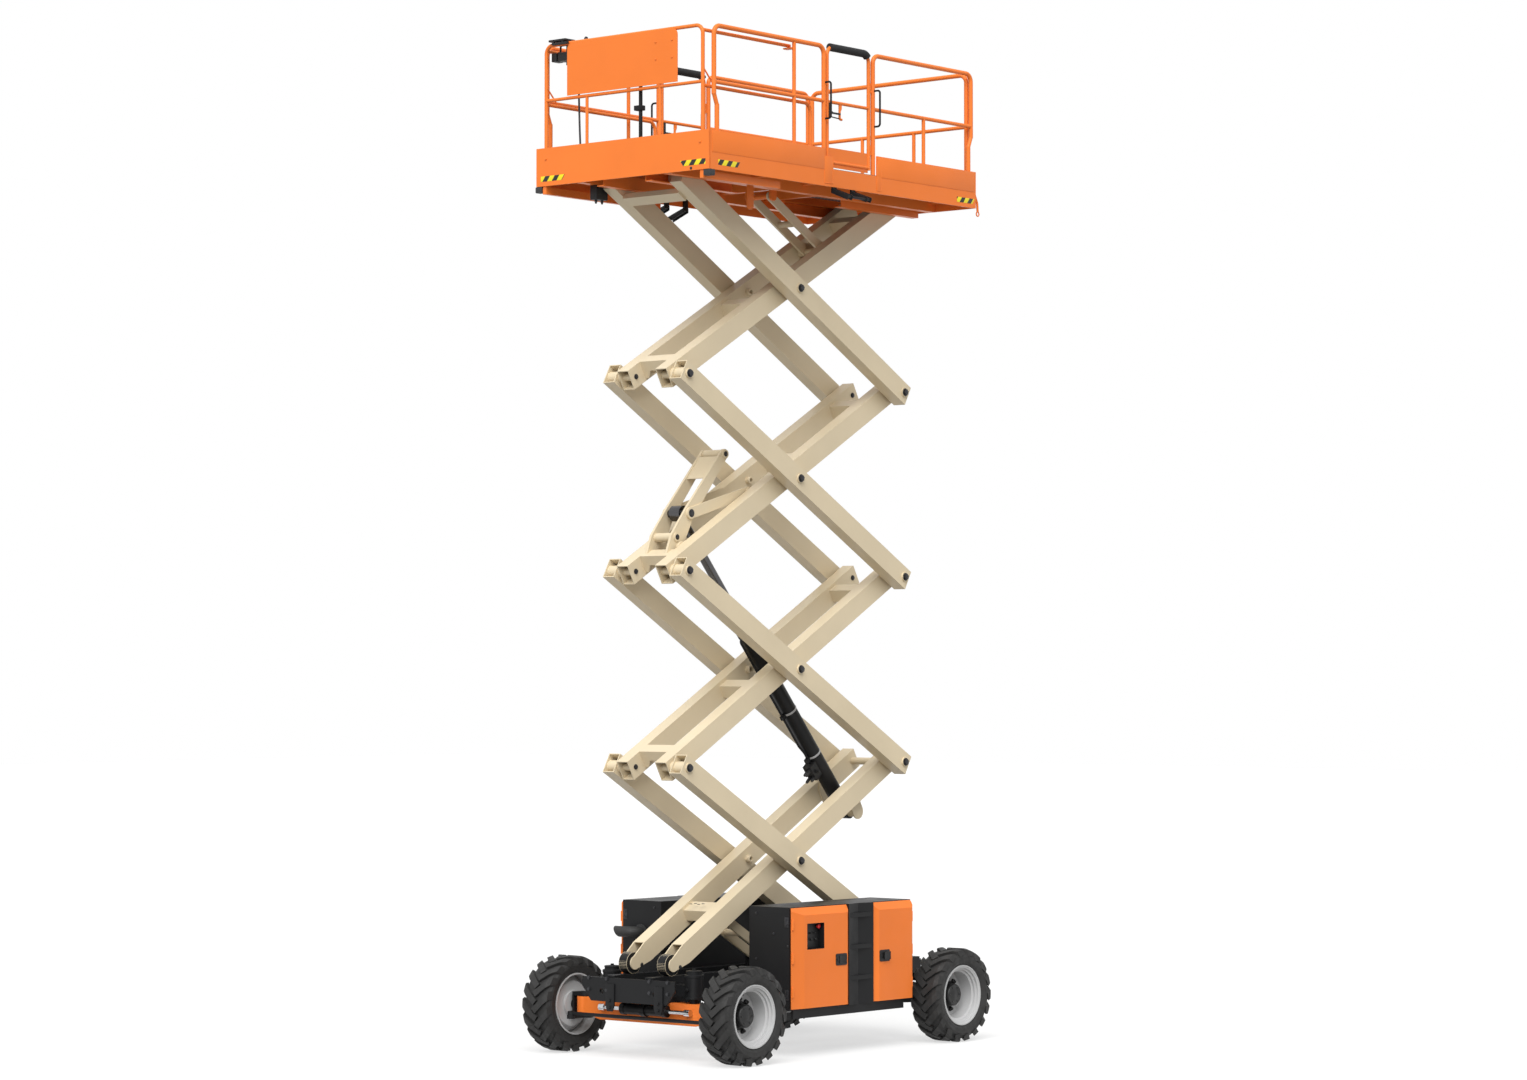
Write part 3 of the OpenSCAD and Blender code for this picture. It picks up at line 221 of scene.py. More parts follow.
def paint(name, colour, highlight_tone, gloss=0.36, shine=0.35):
    """Sprayed paint with a faint orange peel, soft mottling and a painted highlight along its edges, broken
    up by noise.
    """
    material, tree, surface, place = shader(name)
    edge = tree.nodes.new("ShaderNodeBevel")
    edge.samples = 4
    edge.inputs["Radius"].default_value = 0.0015
    faces = tree.nodes.new("ShaderNodeNewGeometry")
    turn = tree.nodes.new("ShaderNodeVectorMath")
    turn.operation = "DOT_PRODUCT"
    tree.links.new(edge.outputs["Normal"], turn.inputs[0])
    tree.links.new(faces.outputs["Normal"], turn.inputs[1])
    # Painted highlight: edges found by the bevel normal are lightened towards the highlight tone, patchily
    # by a noise.
    edge_highlight = tree.nodes.new("ShaderNodeMath")
    edge_highlight.operation = "MULTIPLY"
    tree.links.new(spread(tree, turn.outputs["Value"], 0.97, 0.80, 0.0, 0.35), edge_highlight.inputs[0])
    tree.links.new(spread(tree, noise(tree, place, 14.0, 5.0, 0.6), 0.35, 0.65, 0.1, 1.0), edge_highlight.inputs[1])
    dark = tuple(0.94 * c for c in colour)
    coat = tint(tree, spread(tree, noise(tree, place, 1.7, 4.0), 0.35, 0.65, 0.0, 1.0), dark, colour)
    highlighted = tree.nodes.new("ShaderNodeMix")
    highlighted.data_type = "RGBA"
    highlighted.inputs["B"].default_value = (*highlight_tone, 1.0)
    tree.links.new(edge_highlight.outputs[0], highlighted.inputs["Factor"])
    tree.links.new(coat, highlighted.inputs["A"])
    tree.links.new(highlighted.outputs["Result"], surface.inputs["Base Color"])
    sheen(tree, surface, place, gloss - 0.06, gloss + 0.08, 6.0, 5.0)
    surface.inputs["Specular IOR Level"].default_value = shine
    roughen(tree, surface, noise(tree, place, 220.0, 2.0), 0.0002, edge.outputs["Normal"])
    return material


def coat_nodes(material, *names):
    """Gives CAD nodes a finish in place of their plain one."""
    for name in names:
        mesh = nodes[name].data
        mesh.materials.clear()
        mesh.materials.append(material)


def fit(name, shape, material, body):
    """Makes a piece of a finished mesh shape and fixes it to the body that carries it."""
    mesh = bpy.data.meshes.new(name)
    bmesh.ops.recalc_face_normals(shape, faces=shape.faces)
    shape.to_mesh(mesh)
    shape.free()
    for face in mesh.polygons:
        face.use_smooth = True
    mesh.set_sharp_from_angle(angle=math.radians(38.0))
    mesh.materials.append(material)
    piece = bpy.data.objects.new(name, mesh)
    scene.collection.objects.link(piece)
    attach(piece, body)
    return piece


def turned(shape, profile, at, along, steps=32):
    """Adds a turned solid: its profile is radius and distance along the axis, in order."""
    along = Vector(along).normalized()
    across = along.orthogonal().normalized()
    third = along.cross(across)
    rings = []
    for radius, far in profile:
        middle = Vector(at) + far * along
        count = steps if radius > 0 else 1
        rings.append([shape.verts.new(middle + radius * (math.cos(a) * across + math.sin(a) * third))
                      for a in (2 * math.pi * k / steps for k in range(count))])
    for low, high in zip(rings, rings[1:]):
        for k in range(steps):
            loop = (low[k % len(low)], low[(k + 1) % steps % len(low)],
                    high[(k + 1) % steps % len(high)], high[k % len(high)])
            corners = list(dict.fromkeys(loop))
            if len(corners) > 2:
                shape.faces.new(corners)


def bolt(shape, at, along, across=0.030, tall=0.014):
    """Adds a hexagon bolt head on its washer."""
    washer = 0.22 * tall
    seat = [(0.0, 0.0), (0.72 * across, 0.0), (0.72 * across, washer), (0.4 * across, washer)]
    head = [(0.57 * across, washer), (0.57 * across, 0.88 * tall), (0.48 * across, tall), (0.0, tall)]
    turned(shape, seat, at, along, 20)
    turned(shape, head, at, along, 6)


def slab(shape, low, high, soft=0.004, frame_of=None):
    """Adds a block with softened edges between two corners, in its own frame if one is given."""
    low, high = zip(*(sorted(pair) for pair in zip(low, high)))
    corners = bmesh.ops.create_cube(shape, size=1.0)["verts"]
    for corner in corners:
        at = Vector([l + (c + 0.5) * (h - l) for c, l, h in zip(corner.co, low, high)])
        corner.co = frame_of @ at if frame_of else at
    edges = list({edge for corner in corners for edge in corner.link_edges})
    bmesh.ops.bevel(shape, geom=edges, offset=soft, segments=2, profile=0.6, affect="EDGES")


def facing_side(side, y):
    """A frame for plates on a side: its first axis is X, its second Z, and its third points outward."""
    return Matrix(((1, 0, 0, 0), (0, 0, side, y), (0, 1, 0, 0), (0, 0, 0, 1)))


def sheet_metal(shape, outline, thick, lay, soft=0.0015):
    """Adds a cut plate: its outline lies in the first two axes of its frame, its thickness in the third."""
    under = [shape.verts.new(lay @ Vector((u, v, 0.0))) for u, v in outline]
    over = [shape.verts.new(lay @ Vector((u, v, thick))) for u, v in outline]
    shape.faces.new(list(reversed(under)))
    top = shape.faces.new(over)
    for k in range(len(outline)):
        j = (k + 1) % len(outline)
        shape.faces.new((under[k], under[j], over[j], over[k]))
    bmesh.ops.bevel(shape, geom=list(top.edges), offset=soft, segments=2, profile=0.6, affect="EDGES")


def eased(line, bend, steps=6):
    """The same line with its corners rounded to a bend radius."""
    line = [Vector(p) for p in line]
    out = [line[0]]
    for before, corner, after in zip(line, line[1:], line[2:]):
        into = (before - corner).normalized()
        away = (after - corner).normalized()
        half = into.angle(away) / 2
        back = min(bend / math.tan(half), 0.49 * (before - corner).length, 0.49 * (after - corner).length)
        for k in range(steps + 1):
            t = k / steps
            out.append((1 - t) ** 2 * (corner + back * into) + 2 * t * (1 - t) * corner
                       + t ** 2 * (corner + back * away))
    return out + [line[-1]]


def tube(shape, line, radius, steps=14):
    """Adds a round bar or pipe along a line, closed at both ends."""
    line = [Vector(p) for p in line]
    across = (line[1] - line[0]).orthogonal().normalized()
    rings = []
    for k, at in enumerate(line):
        ahead = (line[min(k + 1, len(line) - 1)] - line[max(k - 1, 0)]).normalized()
        across = (across - across.dot(ahead) * ahead).normalized()
        third = ahead.cross(across)
        rings.append([shape.verts.new(at + radius * (math.cos(a) * across + math.sin(a) * third))
                      for a in (2 * math.pi * j / steps for j in range(steps))])
    for low, high in zip(rings, rings[1:]):
        for j in range(steps):
            shape.faces.new((low[j], low[(j + 1) % steps], high[(j + 1) % steps], high[j]))
    shape.faces.new(list(reversed(rings[0])))
    shape.faces.new(rings[-1])


# The third colour of each paint is the painted highlight on its edges.
black_paint = paint("black_paint", (0.011, 0.0112, 0.012), (0.04, 0.04, 0.04), 0.44, 0.18)
orange_paint = paint("orange_paint", (0.89, 0.212, 0.034), (0.95, 0.34, 0.11), 0.38, 0.25)
coat_nodes(black_paint, "chassis_frame", "rear_axle", "knuckle_left", "knuckle_right", "tie_rod")
coat_nodes(orange_paint, "front_axle")

black_zinc, tree, surface, place = shader("black_zinc")
mottle(tree, surface, place, (0.02, 0.02, 0.022), (0.055, 0.055, 0.06), 60.0)
sheen(tree, surface, place, 0.3, 0.5, 140.0)
surface.inputs["Metallic"].default_value = 0.6
roughen(tree, surface, noise(tree, place, 400.0), 0.0002)

pivots = {joint["name"]: joint["pos_m"] for joint in frame["joints"] if "pos_m" in joint}
axle_x, wheel_y, axle_z = pivots["wheel_front_left_spin"]
end_plate_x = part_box("chassis_frame")[1][0]
end_bolts = bmesh.new()
for y in (-0.46, -0.25, 0.25, 0.46):
    for z in (0.60, 0.70):
        bolt(end_bolts, (end_plate_x, y, z), (1, 0, 0), 0.028)
fit("end_plate_bolts", end_bolts, black_zinc, "chassis")

axle_stays = bmesh.new()
stay_x = end_plate_x - 0.0005
stay_t = 0.014
stay_outline = [(-0.05, 0.66), (-0.05, 0.47), (-0.03, 0.42), (0.03, 0.42), (0.05, 0.47), (0.05, 0.66)]
for y in (-0.205, 0.36):
    lay = Matrix(((0, 0, 1, stay_x), (1, 0, 0, y), (0, 1, 0, 0), (0, 0, 0, 1)))
    sheet_metal(axle_stays, stay_outline, stay_t, lay)
    for z in (0.455, 0.515):
        bolt(axle_stays, (stay_x + stay_t, y, z), (1, 0, 0), 0.024)
fit("axle_stays", axle_stays, black_paint, "chassis")

lock_caps = bmesh.new()
lock_y = 0.48
lock_foot = 0.5423
lock_port = 0.625
lock_top = 0.789
for side in (-1, 1):
    foot = (axle_x, side * lock_y, lock_foot)
    turned(lock_caps, [(0.0822, 0.0), (0.090, 0.001), (0.090, 0.018), (0.0822, 0.020)], foot, (0, 0, 1), 40)
    turned(lock_caps, [(0.0822, 0.186), (0.087, 0.188), (0.087, 0.208), (0.080, 0.213), (0.066, 0.213)],
           foot, (0, 0, 1), 40)
    turned(lock_caps, [(0.0682, 0.232), (0.071, 0.234), (0.071, 0.243), (0.062, 0.247), (0.0, 0.247)],
           foot, (0, 0, 1), 40)
    bolt(lock_caps, (axle_x, side * lock_y, lock_top), (0, 0, 1), 0.030, 0.016)
    turned(lock_caps, [(0.016, 0.078), (0.016, 0.100), (0.010, 0.102), (0.010, 0.116), (0.0, 0.118)],
           (axle_x, side * lock_y, lock_port), (1, 0, 0), 6)
fit("lock_cylinder_caps", lock_caps, black_paint, "chassis")

steering_barrel = bmesh.new()
ram_x = 1.58
half = [(0.0465, 0.03), (0.0465, 0.215), (0.052, 0.218), (0.052, 0.262), (0.047, 0.266), (0.0195, 0.266)]
turned(steering_barrel, [(r, -y) for r, y in reversed(half)] + [(0.058, -0.028), (0.058, 0.028)] + half,
       (ram_x, 0.0, axle_z), (0, 1, 0), 36)
for y in (-0.19, 0.19):
    hose = [(ram_x, y, 0.46), (ram_x, y, 0.52), (1.52, y * 0.7, 0.535), (1.44, y * 0.5, 0.535)]
    tube(steering_barrel, eased(hose, 0.03), 0.010, 10)
    turned(steering_barrel, [(0.016, 0.0), (0.016, 0.022), (0.012, 0.026)], (ram_x, y, 0.468), (0, 0, 1), 6)
fit("steering_barrel", steering_barrel, black_paint, "chassis")

# Wheels and tyres
# Steel rims sprayed silver grey with a stepped lip, foam-filled rubber tyres with
# chevron lugs, and a cast black drive hub held by a ring of nuts.
tyre_rubber, tree, surface, place = shader("tyre_rubber")
mottle(tree, surface, place, (0.013, 0.013, 0.013), (0.032, 0.031, 0.030), 9.0, 6.0, 0.65)
sheen(tree, surface, place, 0.52, 0.78, 25.0, 4.0)
surface.inputs["Specular IOR Level"].default_value = 0.35
roughen(tree, surface, noise(tree, place, 160.0, 4.0), 0.0012)
silver_paint = paint("silver_paint", (0.50, 0.50, 0.50), (0.74, 0.74, 0.73), 0.34, 0.5)
hub_black = paint("hub_black", (0.014, 0.014, 0.014), (0.05, 0.05, 0.05), 0.34, 0.4)

nuts = 9
nut_ring = 0.144
cap_screws = 6
cap_ring = 0.072
for end, x in (("front", axle_x), ("rear", -axle_x)):
    for hand, side in (("left", 1), ("right", -1)):
        corner = end + "_" + hand
        coat_nodes(tyre_rubber, "tyre_" + corner)
        coat_nodes(silver_paint, "wheel_" + corner)
        middle = Vector((x, side * wheel_y, axle_z))
        out = (0, side, 0)
        hub = bmesh.new()
        turned(hub, [(0.126, -0.0515), (0.126, -0.036), (0.110, -0.031), (0.1035, -0.026), (0.1025, 0.028),
                     (0.099, 0.037), (0.092, 0.0445), (0.048, 0.0485), (0.043, 0.0525), (0.0, 0.0535)],
               middle, out, 48)
        for k in range(nuts):
            a = 2 * math.pi * (k + 0.25) / nuts
            at = middle + Vector((nut_ring * math.cos(a), -side * 0.0518, nut_ring * math.sin(a)))
            bolt(hub, at, out, 0.034, 0.026)
            turned(hub, [(0.010, 0.026), (0.010, 0.036), (0.007, 0.039), (0.0, 0.039)], at, out, 12)
        for k in range(cap_screws):
            a = 2 * math.pi * k / cap_screws
            at = middle + Vector((cap_ring * math.cos(a), side * 0.0455, cap_ring * math.sin(a)))
            bolt(hub, at, out, 0.014, 0.006)
        fit("hub_" + corner, hub, hub_black, "wheel_" + corner)
        valve = bmesh.new()
        stem = middle + Vector((0.0, -side * 0.0525, 0.188))
        turned(valve, [(0.008, 0.0), (0.008, 0.020), (0.0055, 0.024), (0.0055, 0.045), (0.007, 0.046),
                       (0.007, 0.058), (0.0, 0.060)], stem, (0, side, -0.12), 12)
        fit("valve_" + corner, valve, black_zinc, "wheel_" + corner)

# Cabinets and their doors
# Folded steel boxes in black with orange pressed doors, hung on knuckle hinges and
# shut by flush paddle latches. The left front door frames the ground controls, and
# the exhaust leaves the front of the right box.
coat_nodes(black_paint, "cabinet_left", "cabinet_right")
coat_nodes(orange_paint, "door_front_left", "door_front_right", "door_rear_left", "door_rear_right")
engine_cast, tree, surface, place = shader("engine_cast")
mottle(tree, surface, place, (0.012, 0.012, 0.012), (0.026, 0.026, 0.026), 20.0, 5.0)
sheen(tree, surface, place, 0.55, 0.75, 80.0)
roughen(tree, surface, noise(tree, place, 250.0, 4.0), 0.0008)
coat_nodes(engine_cast, "engine")

black_plastic, tree, surface, place = shader("black_plastic")
mottle(tree, surface, place, (0.006, 0.006, 0.0065), (0.013, 0.013, 0.0135), 40.0)
sheen(tree, surface, place, 0.42, 0.6, 300.0)
surface.inputs["Specular IOR Level"].default_value = 0.35
roughen(tree, surface, noise(tree, place, 900.0, 1.0), 0.0003)

cabinet_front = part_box("cabinet_left")[1][0]
door_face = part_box("door_front_left")[1][1] + 0.0005
latch_foot = 0.784
latch_head = 0.888
latch_cut = 0.010
for hand, side in (("left", 1), ("right", -1)):
    for end, x0, x1 in (("front", 0.031, 0.186), ("rear", -0.584, -0.439)):
        latch = bmesh.new()
        lay = facing_side(side, side * door_face)
        plate = [(x0 + latch_cut, latch_foot), (x1 - latch_cut, latch_foot), (x1, latch_foot + latch_cut),
                 (x1, latch_head - latch_cut), (x1 - latch_cut, latch_head), (x0 + latch_cut, latch_head),
                 (x0, latch_head - latch_cut), (x0, latch_foot + latch_cut)]
        sheet_metal(latch, plate, 0.005, lay)
        tilt = lay @ Matrix.Translation((0, 0, 0.004)) @ Matrix.Rotation(math.radians(1.5), 4, "Y")
        slab(latch, (x0 + 0.018, latch_foot + 0.020, 0.0), (x1 - 0.045, latch_head - 0.020, 0.008),
             0.003, tilt)
        turned(latch, [(0.013, 0.004), (0.013, 0.010), (0.010, 0.012), (0.0, 0.012)],
               lay @ Vector((x1 - 0.024, (latch_foot + latch_head) / 2, 0)), (0, side, 0), 20)
        fit("latch_" + end + "_" + hand, latch, black_plastic, "door_" + end + "_" + hand)
    hinges = bmesh.new()
    for z in (0.555, 1.19):
        slab(hinges, (0.779, side * 0.925, z - 0.045), (0.784, side * 0.972, z + 0.045), 0.002)
        for dz in (-0.025, 0.025):
            bolt(hinges, (0.784, side * 0.946, z + dz), (1, 0, 0), 0.016, 0.007)
    for y, z in ((0.801, 1.087), (0.964, 1.177), (0.964, 0.983), (0.60, 0.47), (0.60, 0.86), (0.60, 1.26)):
        bolt(hinges, (cabinet_front, side * y, z), (1, 0, 0), 0.018, 0.008)
    fit("hinge_leaves_" + hand, hinges, black_zinc, "chassis")

outlet = bmesh.new()
outlet_r = 0.049
outlet_wall = 0.006
outlet_y = -0.76
outlet_z = 1.04
tip_y = -0.945
tip_slant = 0.55
bend = 0.07
outlet_steps = 28
arc = [math.radians(10.0 * k) for k in range(10)]
outlet_line = [(0.7815, outlet_y, 0.0)]
outlet_line += [(0.82 + bend * math.sin(a), outlet_y - bend + bend * math.cos(a), a) for a in arc]
outlet_line += [(0.82 + bend, -0.90, math.pi / 2), (0.82 + bend, tip_y, math.pi / 2)]
outlet_rings = []
for radius, line in ((outlet_r, outlet_line), (outlet_r - outlet_wall, outlet_line[:-3:-1])):
    for x, y, a in line:
        lip = tip_slant * radius if y == tip_y else 0.0
        outlet_rings.append([outlet.verts.new((x + radius * math.cos(t) * math.sin(a),
                                               y + radius * math.cos(t) * math.cos(a) - lip * math.sin(t),
                                               outlet_z + radius * math.sin(t)))
                             for t in (2 * math.pi * j / outlet_steps for j in range(outlet_steps))])
for low, high in zip(outlet_rings, outlet_rings[1:]):
    for j in range(outlet_steps):
        ahead = (j + 1) % outlet_steps
        outlet.faces.new((low[j], low[ahead], high[ahead], high[j]))
outlet.faces.new(outlet_rings[-1])
flange = [(outlet_r, 0.0), (0.068, 0.0), (0.068, 0.006), (outlet_r, 0.007)]
turned(outlet, flange, (0.7805, outlet_y, outlet_z), (1, 0, 0), 32)
fit("exhaust_outlet", outlet, engine_cast, "chassis")

recess = bmesh.new()
wall = 0.0025
rear_x = 0.346
front_x = 0.583
sill_z = 0.945
head_z = 1.173
for x0, x1, low, high in ((rear_x, front_x, sill_z, sill_z + wall),
                          (rear_x, front_x, head_z - wall, head_z),
                          (rear_x, rear_x + wall, sill_z, head_z),
                          (front_x - wall, front_x, sill_z, head_z)):
    slab(recess, (x0, 0.940, low), (x1, 1.0206, high), 0.0008)
fit("control_recess_liner", recess, black_paint, "door_front_left")

stop_red, tree, surface, place = shader("stop_red")
mottle(tree, surface, place, (0.55, 0.012, 0.012), (0.66, 0.02, 0.02), 80.0)
sheen(tree, surface, place, 0.28, 0.4, 200.0)

panel = bmesh.new()
slab(panel, (0.350, 0.912, 0.949), (0.579, 0.962, 1.169), 0.006)
slab(panel, (0.500, 0.960, 1.085), (0.560, 0.966, 1.145), 0.003)
panel_y = 0.961
knob = [(0.017, 0.0), (0.017, 0.004), (0.012, 0.006), (0.011, 0.020), (0.008, 0.023), (0.0, 0.023)]
switch = [(0.012, 0.0), (0.012, 0.005), (0.007, 0.006), (0.004, 0.020), (0.0045, 0.026), (0.0, 0.028)]
for x, z in ((0.472, 1.030), (0.415, 1.030)):
    turned(panel, knob, (x, panel_y, z), (0, 1, 0), 18)
for x, z in ((0.484, 1.085), (0.430, 1.085), (0.530, 1.030)):
    turned(panel, switch, (x, panel_y, z), (0, 1, 0), 14)
fit("ground_control_panel", panel, black_plastic, "door_front_left")
stop = bmesh.new()
mushroom = [(0.012, 0.0), (0.012, 0.014), (0.021, 0.016), (0.022, 0.022), (0.019, 0.028), (0.010, 0.031),
            (0.0, 0.032)]
turned(stop, mushroom, (0.380, 0.962, 1.140), (0, 1, 0), 28)
fit("ground_stop_button", stop, stop_red, "door_front_left")

# Scissor mast
# Four stages of welded box-section arms in tan paint, turning on hardened pins that
# plain black bolts hold in from outside.
tan_paint = paint("tan_paint", (0.715, 0.603, 0.418), (0.80, 0.71, 0.54), 0.38, 0.28)
coat_nodes(tan_paint, "base_link", "top_link", *("inner_arms_%d" % k for k in (1, 2, 3, 4)),
           *("outer_arms_%d" % k for k in (1, 2, 3, 4)))
base_pivot_z = pivots["lift"][2]
foot_x = pivots["front_pin_1"][0]
stage_rise = pivots["front_pin_1"][2] - base_pivot_z
arm_length = math.hypot(2 * foot_x, stage_rise)
arm_cos = 2 * foot_x / arm_length
arm_sin = stage_rise / arm_length


def on_inner(stage, s, n, y):
    """A point on an inner arm: s along it from its front foot, n above its middle line."""
    return Vector((foot_x - s * arm_cos + n * arm_sin, y,
                   base_pivot_z + (stage - 1) * stage_rise + s * arm_sin + n * arm_cos))


def on_outer(stage, s, n, y):
    """A point on an outer arm, which leans the other way."""
    at = on_inner(stage, s, n, y)
    return Vector((-at.x, y, at.z))


pin_boss = [(0.034, -0.001), (0.034, 0.040), (0.030, 0.044), (0.019, 0.044), (0.019, 0.010)]
for stage in (1, 2, 3, 4):
    places = [arm_length / 2] + ([0.0] if stage > 1 else []) + ([arm_length] if stage < 4 else [])
    outside = bmesh.new()
    inside = bmesh.new()
    bosses = bmesh.new()
    for s in places:
        for side in (-1, 1):
            bolt(outside, on_outer(stage, s, 0.0, side * 0.4715), (0, side, 0), 0.050, 0.024)
            bolt(inside, on_inner(stage, s, 0.0, side * 0.1585), (0, -side, 0), 0.034, 0.014)
            if s == arm_length / 2:
                turned(bosses, pin_boss, on_inner(stage, s, 0.0, side * 0.1595), (0, -side, 0), 28)
    fit("outer_pin_bolts_%d" % stage, outside, black_zinc, "outer_%d" % stage)
    fit("inner_pin_bolts_%d" % stage, inside, black_zinc, "inner_%d" % stage)
    fit("pin_bosses_%d" % stage, bosses, tan_paint, "inner_%d" % stage)

sleeve_profile = [(0.030, -0.0485), (0.091, -0.0485), (0.0952, -0.0445), (0.0952, 0.0445), (0.091, 0.0485),
                  (0.030, 0.0485)]
for body, x, y in (("inner_1", foot_x, 0.225), ("outer_1", -foot_x, 0.392)):
    rollers = bmesh.new()
    fork_bolts = bmesh.new()
    for side in (-1, 1):
        turned(rollers, sleeve_profile, (x, side * y, base_pivot_z), (0, 1, 0), 40)
        for way in (-1, 1):
            at = (x - math.copysign(0.0848, x), side * y + way * 0.0652, base_pivot_z - 0.020)
            bolt(fork_bolts, at, (0, way, 0), 0.026, 0.010)
    fit("foot_rollers_" + body, rollers, black_paint, body)
    fit("foot_bolts_" + body, fork_bolts, black_zinc, body)

lever_pins = bmesh.new()
for s, n, y, wide in ((0.597, 0.259, 0.1502, 0.050), (0.336, 0.158, 0.1402, 0.034),
                      (1.28, 0.50, 0.1402, 0.034)):
    for side in (-1, 1):
        bolt(lever_pins, on_inner(3, s, n, side * y), (0, side, 0), wide, 0.008)
fit("lever_pins", lever_pins, black_zinc, "inner_3")

# Painted shade: dark discs on the hat plate stand for the shade inside its holes.
hole_shade_discs = bmesh.new()
for x, z in ((0.914, 1.319), (0.854, 1.321)):
    for y in (-0.045, 0.045):
        turned(hole_shade_discs, [(0.0, 0.0), (0.013, 0.0), (0.013, 0.004), (0.009, 0.005), (0.0, 0.005)],
               (x, y, z), (0, 0, 1), 18)
fit("hat_plate_hole_shade", hole_shade_discs, black_zinc, "inner_1")

# Lift cylinder
# A black painted barrel with a dark hardened rod. A hard steel line and a valve block
# are strapped along its lower front side. The chromed steering rod is finished here too.
coat_nodes(black_paint, "lift_barrel")
chrome, tree, surface, place = shader("chrome")
mottle(tree, surface, place, (0.55, 0.56, 0.58), (0.68, 0.69, 0.70), 12.0)
surface.inputs["Metallic"].default_value = 1.0
sheen(tree, surface, place, 0.14, 0.26, 160.0)
roughen(tree, surface, noise(tree, place, 500.0), 0.0001)
coat_nodes(chrome, "steering_rod")
rod_black, tree, surface, place = shader("rod_black")
mottle(tree, surface, place, (0.085, 0.084, 0.087), (0.12, 0.118, 0.12), 12.0)
surface.inputs["Metallic"].default_value = 1.0
sheen(tree, surface, place, 0.2, 0.34, 160.0)
roughen(tree, surface, noise(tree, place, 500.0), 0.0001)
coat_nodes(rod_black, "lift_rod")

barrel_foot = Vector((-1.211, 0.0, 2.091))
barrel_way = (Vector((1.134, 0.0, 4.787)) - barrel_foot).normalized()
barrel_front = Vector((barrel_way.z, 0.0, -barrel_way.x))
beside = Matrix((barrel_way, (0, 1, 0), barrel_front)).transposed().to_4x4()
barrel_skin = 0.0745


def by_barrel(far, out, y=0.0):
    """A point beside the barrel: far along it from its foot, out on its lower front side."""
    return barrel_foot + far * barrel_way + out * barrel_front + Vector((0.0, y, 0.0))


band_steel = paint("band_steel", (0.42, 0.42, 0.43), (0.6, 0.6, 0.6), 0.3, 0.5)
bands = bmesh.new()
for far in (0.72, 1.25):
    turned(bands, [(barrel_skin, -0.010), (0.0775, -0.009), (0.0775, 0.009), (barrel_skin, 0.010)],
           by_barrel(far, 0.0), barrel_way, 40)
fit("barrel_bands", bands, band_steel, "lift_barrel")

line_work = bmesh.new()
line_route = [by_barrel(far, out) for far, out in ((2.18, 0.070), (2.16, 0.108), (0.90, 0.108),
                                                   (0.80, 0.088), (0.66, 0.088))]
tube(line_work, eased(line_route, 0.05, 8), 0.011)
for far in (0.72, 1.25, 1.75):
    slab(line_work, (-0.018, -0.016, 0.070), (0.018, 0.016, 0.124), 0.004,
         Matrix.Translation(by_barrel(far, 0.0)) @ beside)
collar = [(barrel_skin, -0.045), (0.090, -0.042), (0.090, 0.042), (barrel_skin, 0.045)]
turned(line_work, collar, by_barrel(1.75, 0.0), barrel_way, 36)
fit("barrel_hard_line", line_work, black_paint, "lift_barrel")

valves = bmesh.new()
block_at = 0.60
slab(valves, (-0.075, -0.045, 0.068), (0.075, 0.045, 0.150), 0.006,
     Matrix.Translation(by_barrel(block_at, 0.0)) @ beside)
for far, y, long in ((0.555, -0.022, 0.075), (0.555, 0.024, 0.055), (0.625, -0.020, 0.060),
                     (0.640, 0.022, 0.080)):
    coil = [(0.020, 0.0), (0.020, 0.014), (0.015, 0.016), (0.015, long - 0.012), (0.011, long), (0.0, long)]
    turned(valves, coil, by_barrel(far, 0.149, y), barrel_front, 18)
for side in (-1, 1):
    turned(valves, [(0.017, 0.0), (0.017, 0.016), (0.012, 0.018), (0.012, 0.040), (0.0, 0.042)],
           by_barrel(block_at, 0.112, side * 0.044), (0, side, 0), 6)
fit("valve_block", valves, black_plastic, "lift_barrel")

# Platform
# Orange folded boards and tube rails round a steel tread-plate floor, with generic
# striped tape at the corners and black steps and handles at the gates.
coat_nodes(orange_paint, "deck_frame", "guard_rails")
coat_nodes(black_paint, "steps_and_handles")
tread_plate, tree, surface, place = shader("tread_plate")
lozenge = []
for turn in (45.0, -45.0):
    wave = tree.nodes.new("ShaderNodeTexWave")
    wave.inputs["Scale"].default_value = 9.0
    spun = tree.nodes.new("ShaderNodeVectorRotate")
    spun.rotation_type = "Z_AXIS"
    spun.inputs["Angle"].default_value = math.radians(turn)
    tree.links.new(place, spun.inputs["Vector"])
    tree.links.new(spun.outputs["Vector"], wave.inputs["Vector"])
    lozenge.append(wave.outputs["Fac"])
raised = tree.nodes.new("ShaderNodeMath")
raised.operation = "MULTIPLY"
tree.links.new(lozenge[0], raised.inputs[0])
tree.links.new(lozenge[1], raised.inputs[1])
studs = spread(tree, raised.outputs[0], 0.35, 0.75, 0.0, 1.0)
tree.links.new(tint(tree, studs, (0.17, 0.165, 0.16), (0.36, 0.355, 0.35)), surface.inputs["Base Color"])
surface.inputs["Metallic"].default_value = 0.5
sheen(tree, surface, place, 0.38, 0.6, 18.0, 5.0)
roughen(tree, surface, studs, 0.0025)
coat_nodes(tread_plate, "deck_floor", "extension_deck")

toe_laps = bmesh.new()
lap_foot = 7.851
lap_head = 8.038
for side in (-1, 1):
    for x0, x1 in ((-1.88, -0.432), (0.332, 1.86)):
        slab(toe_laps, (x0, side * 1.0145, lap_foot), (x1, side * 1.0178, lap_head), 0.0012)
slab(toe_laps, (-1.9078, -1.0, lap_foot), (-1.9045, 1.0, lap_head), 0.0012)
fit("toe_board_laps", toe_laps, orange_paint, "platform")

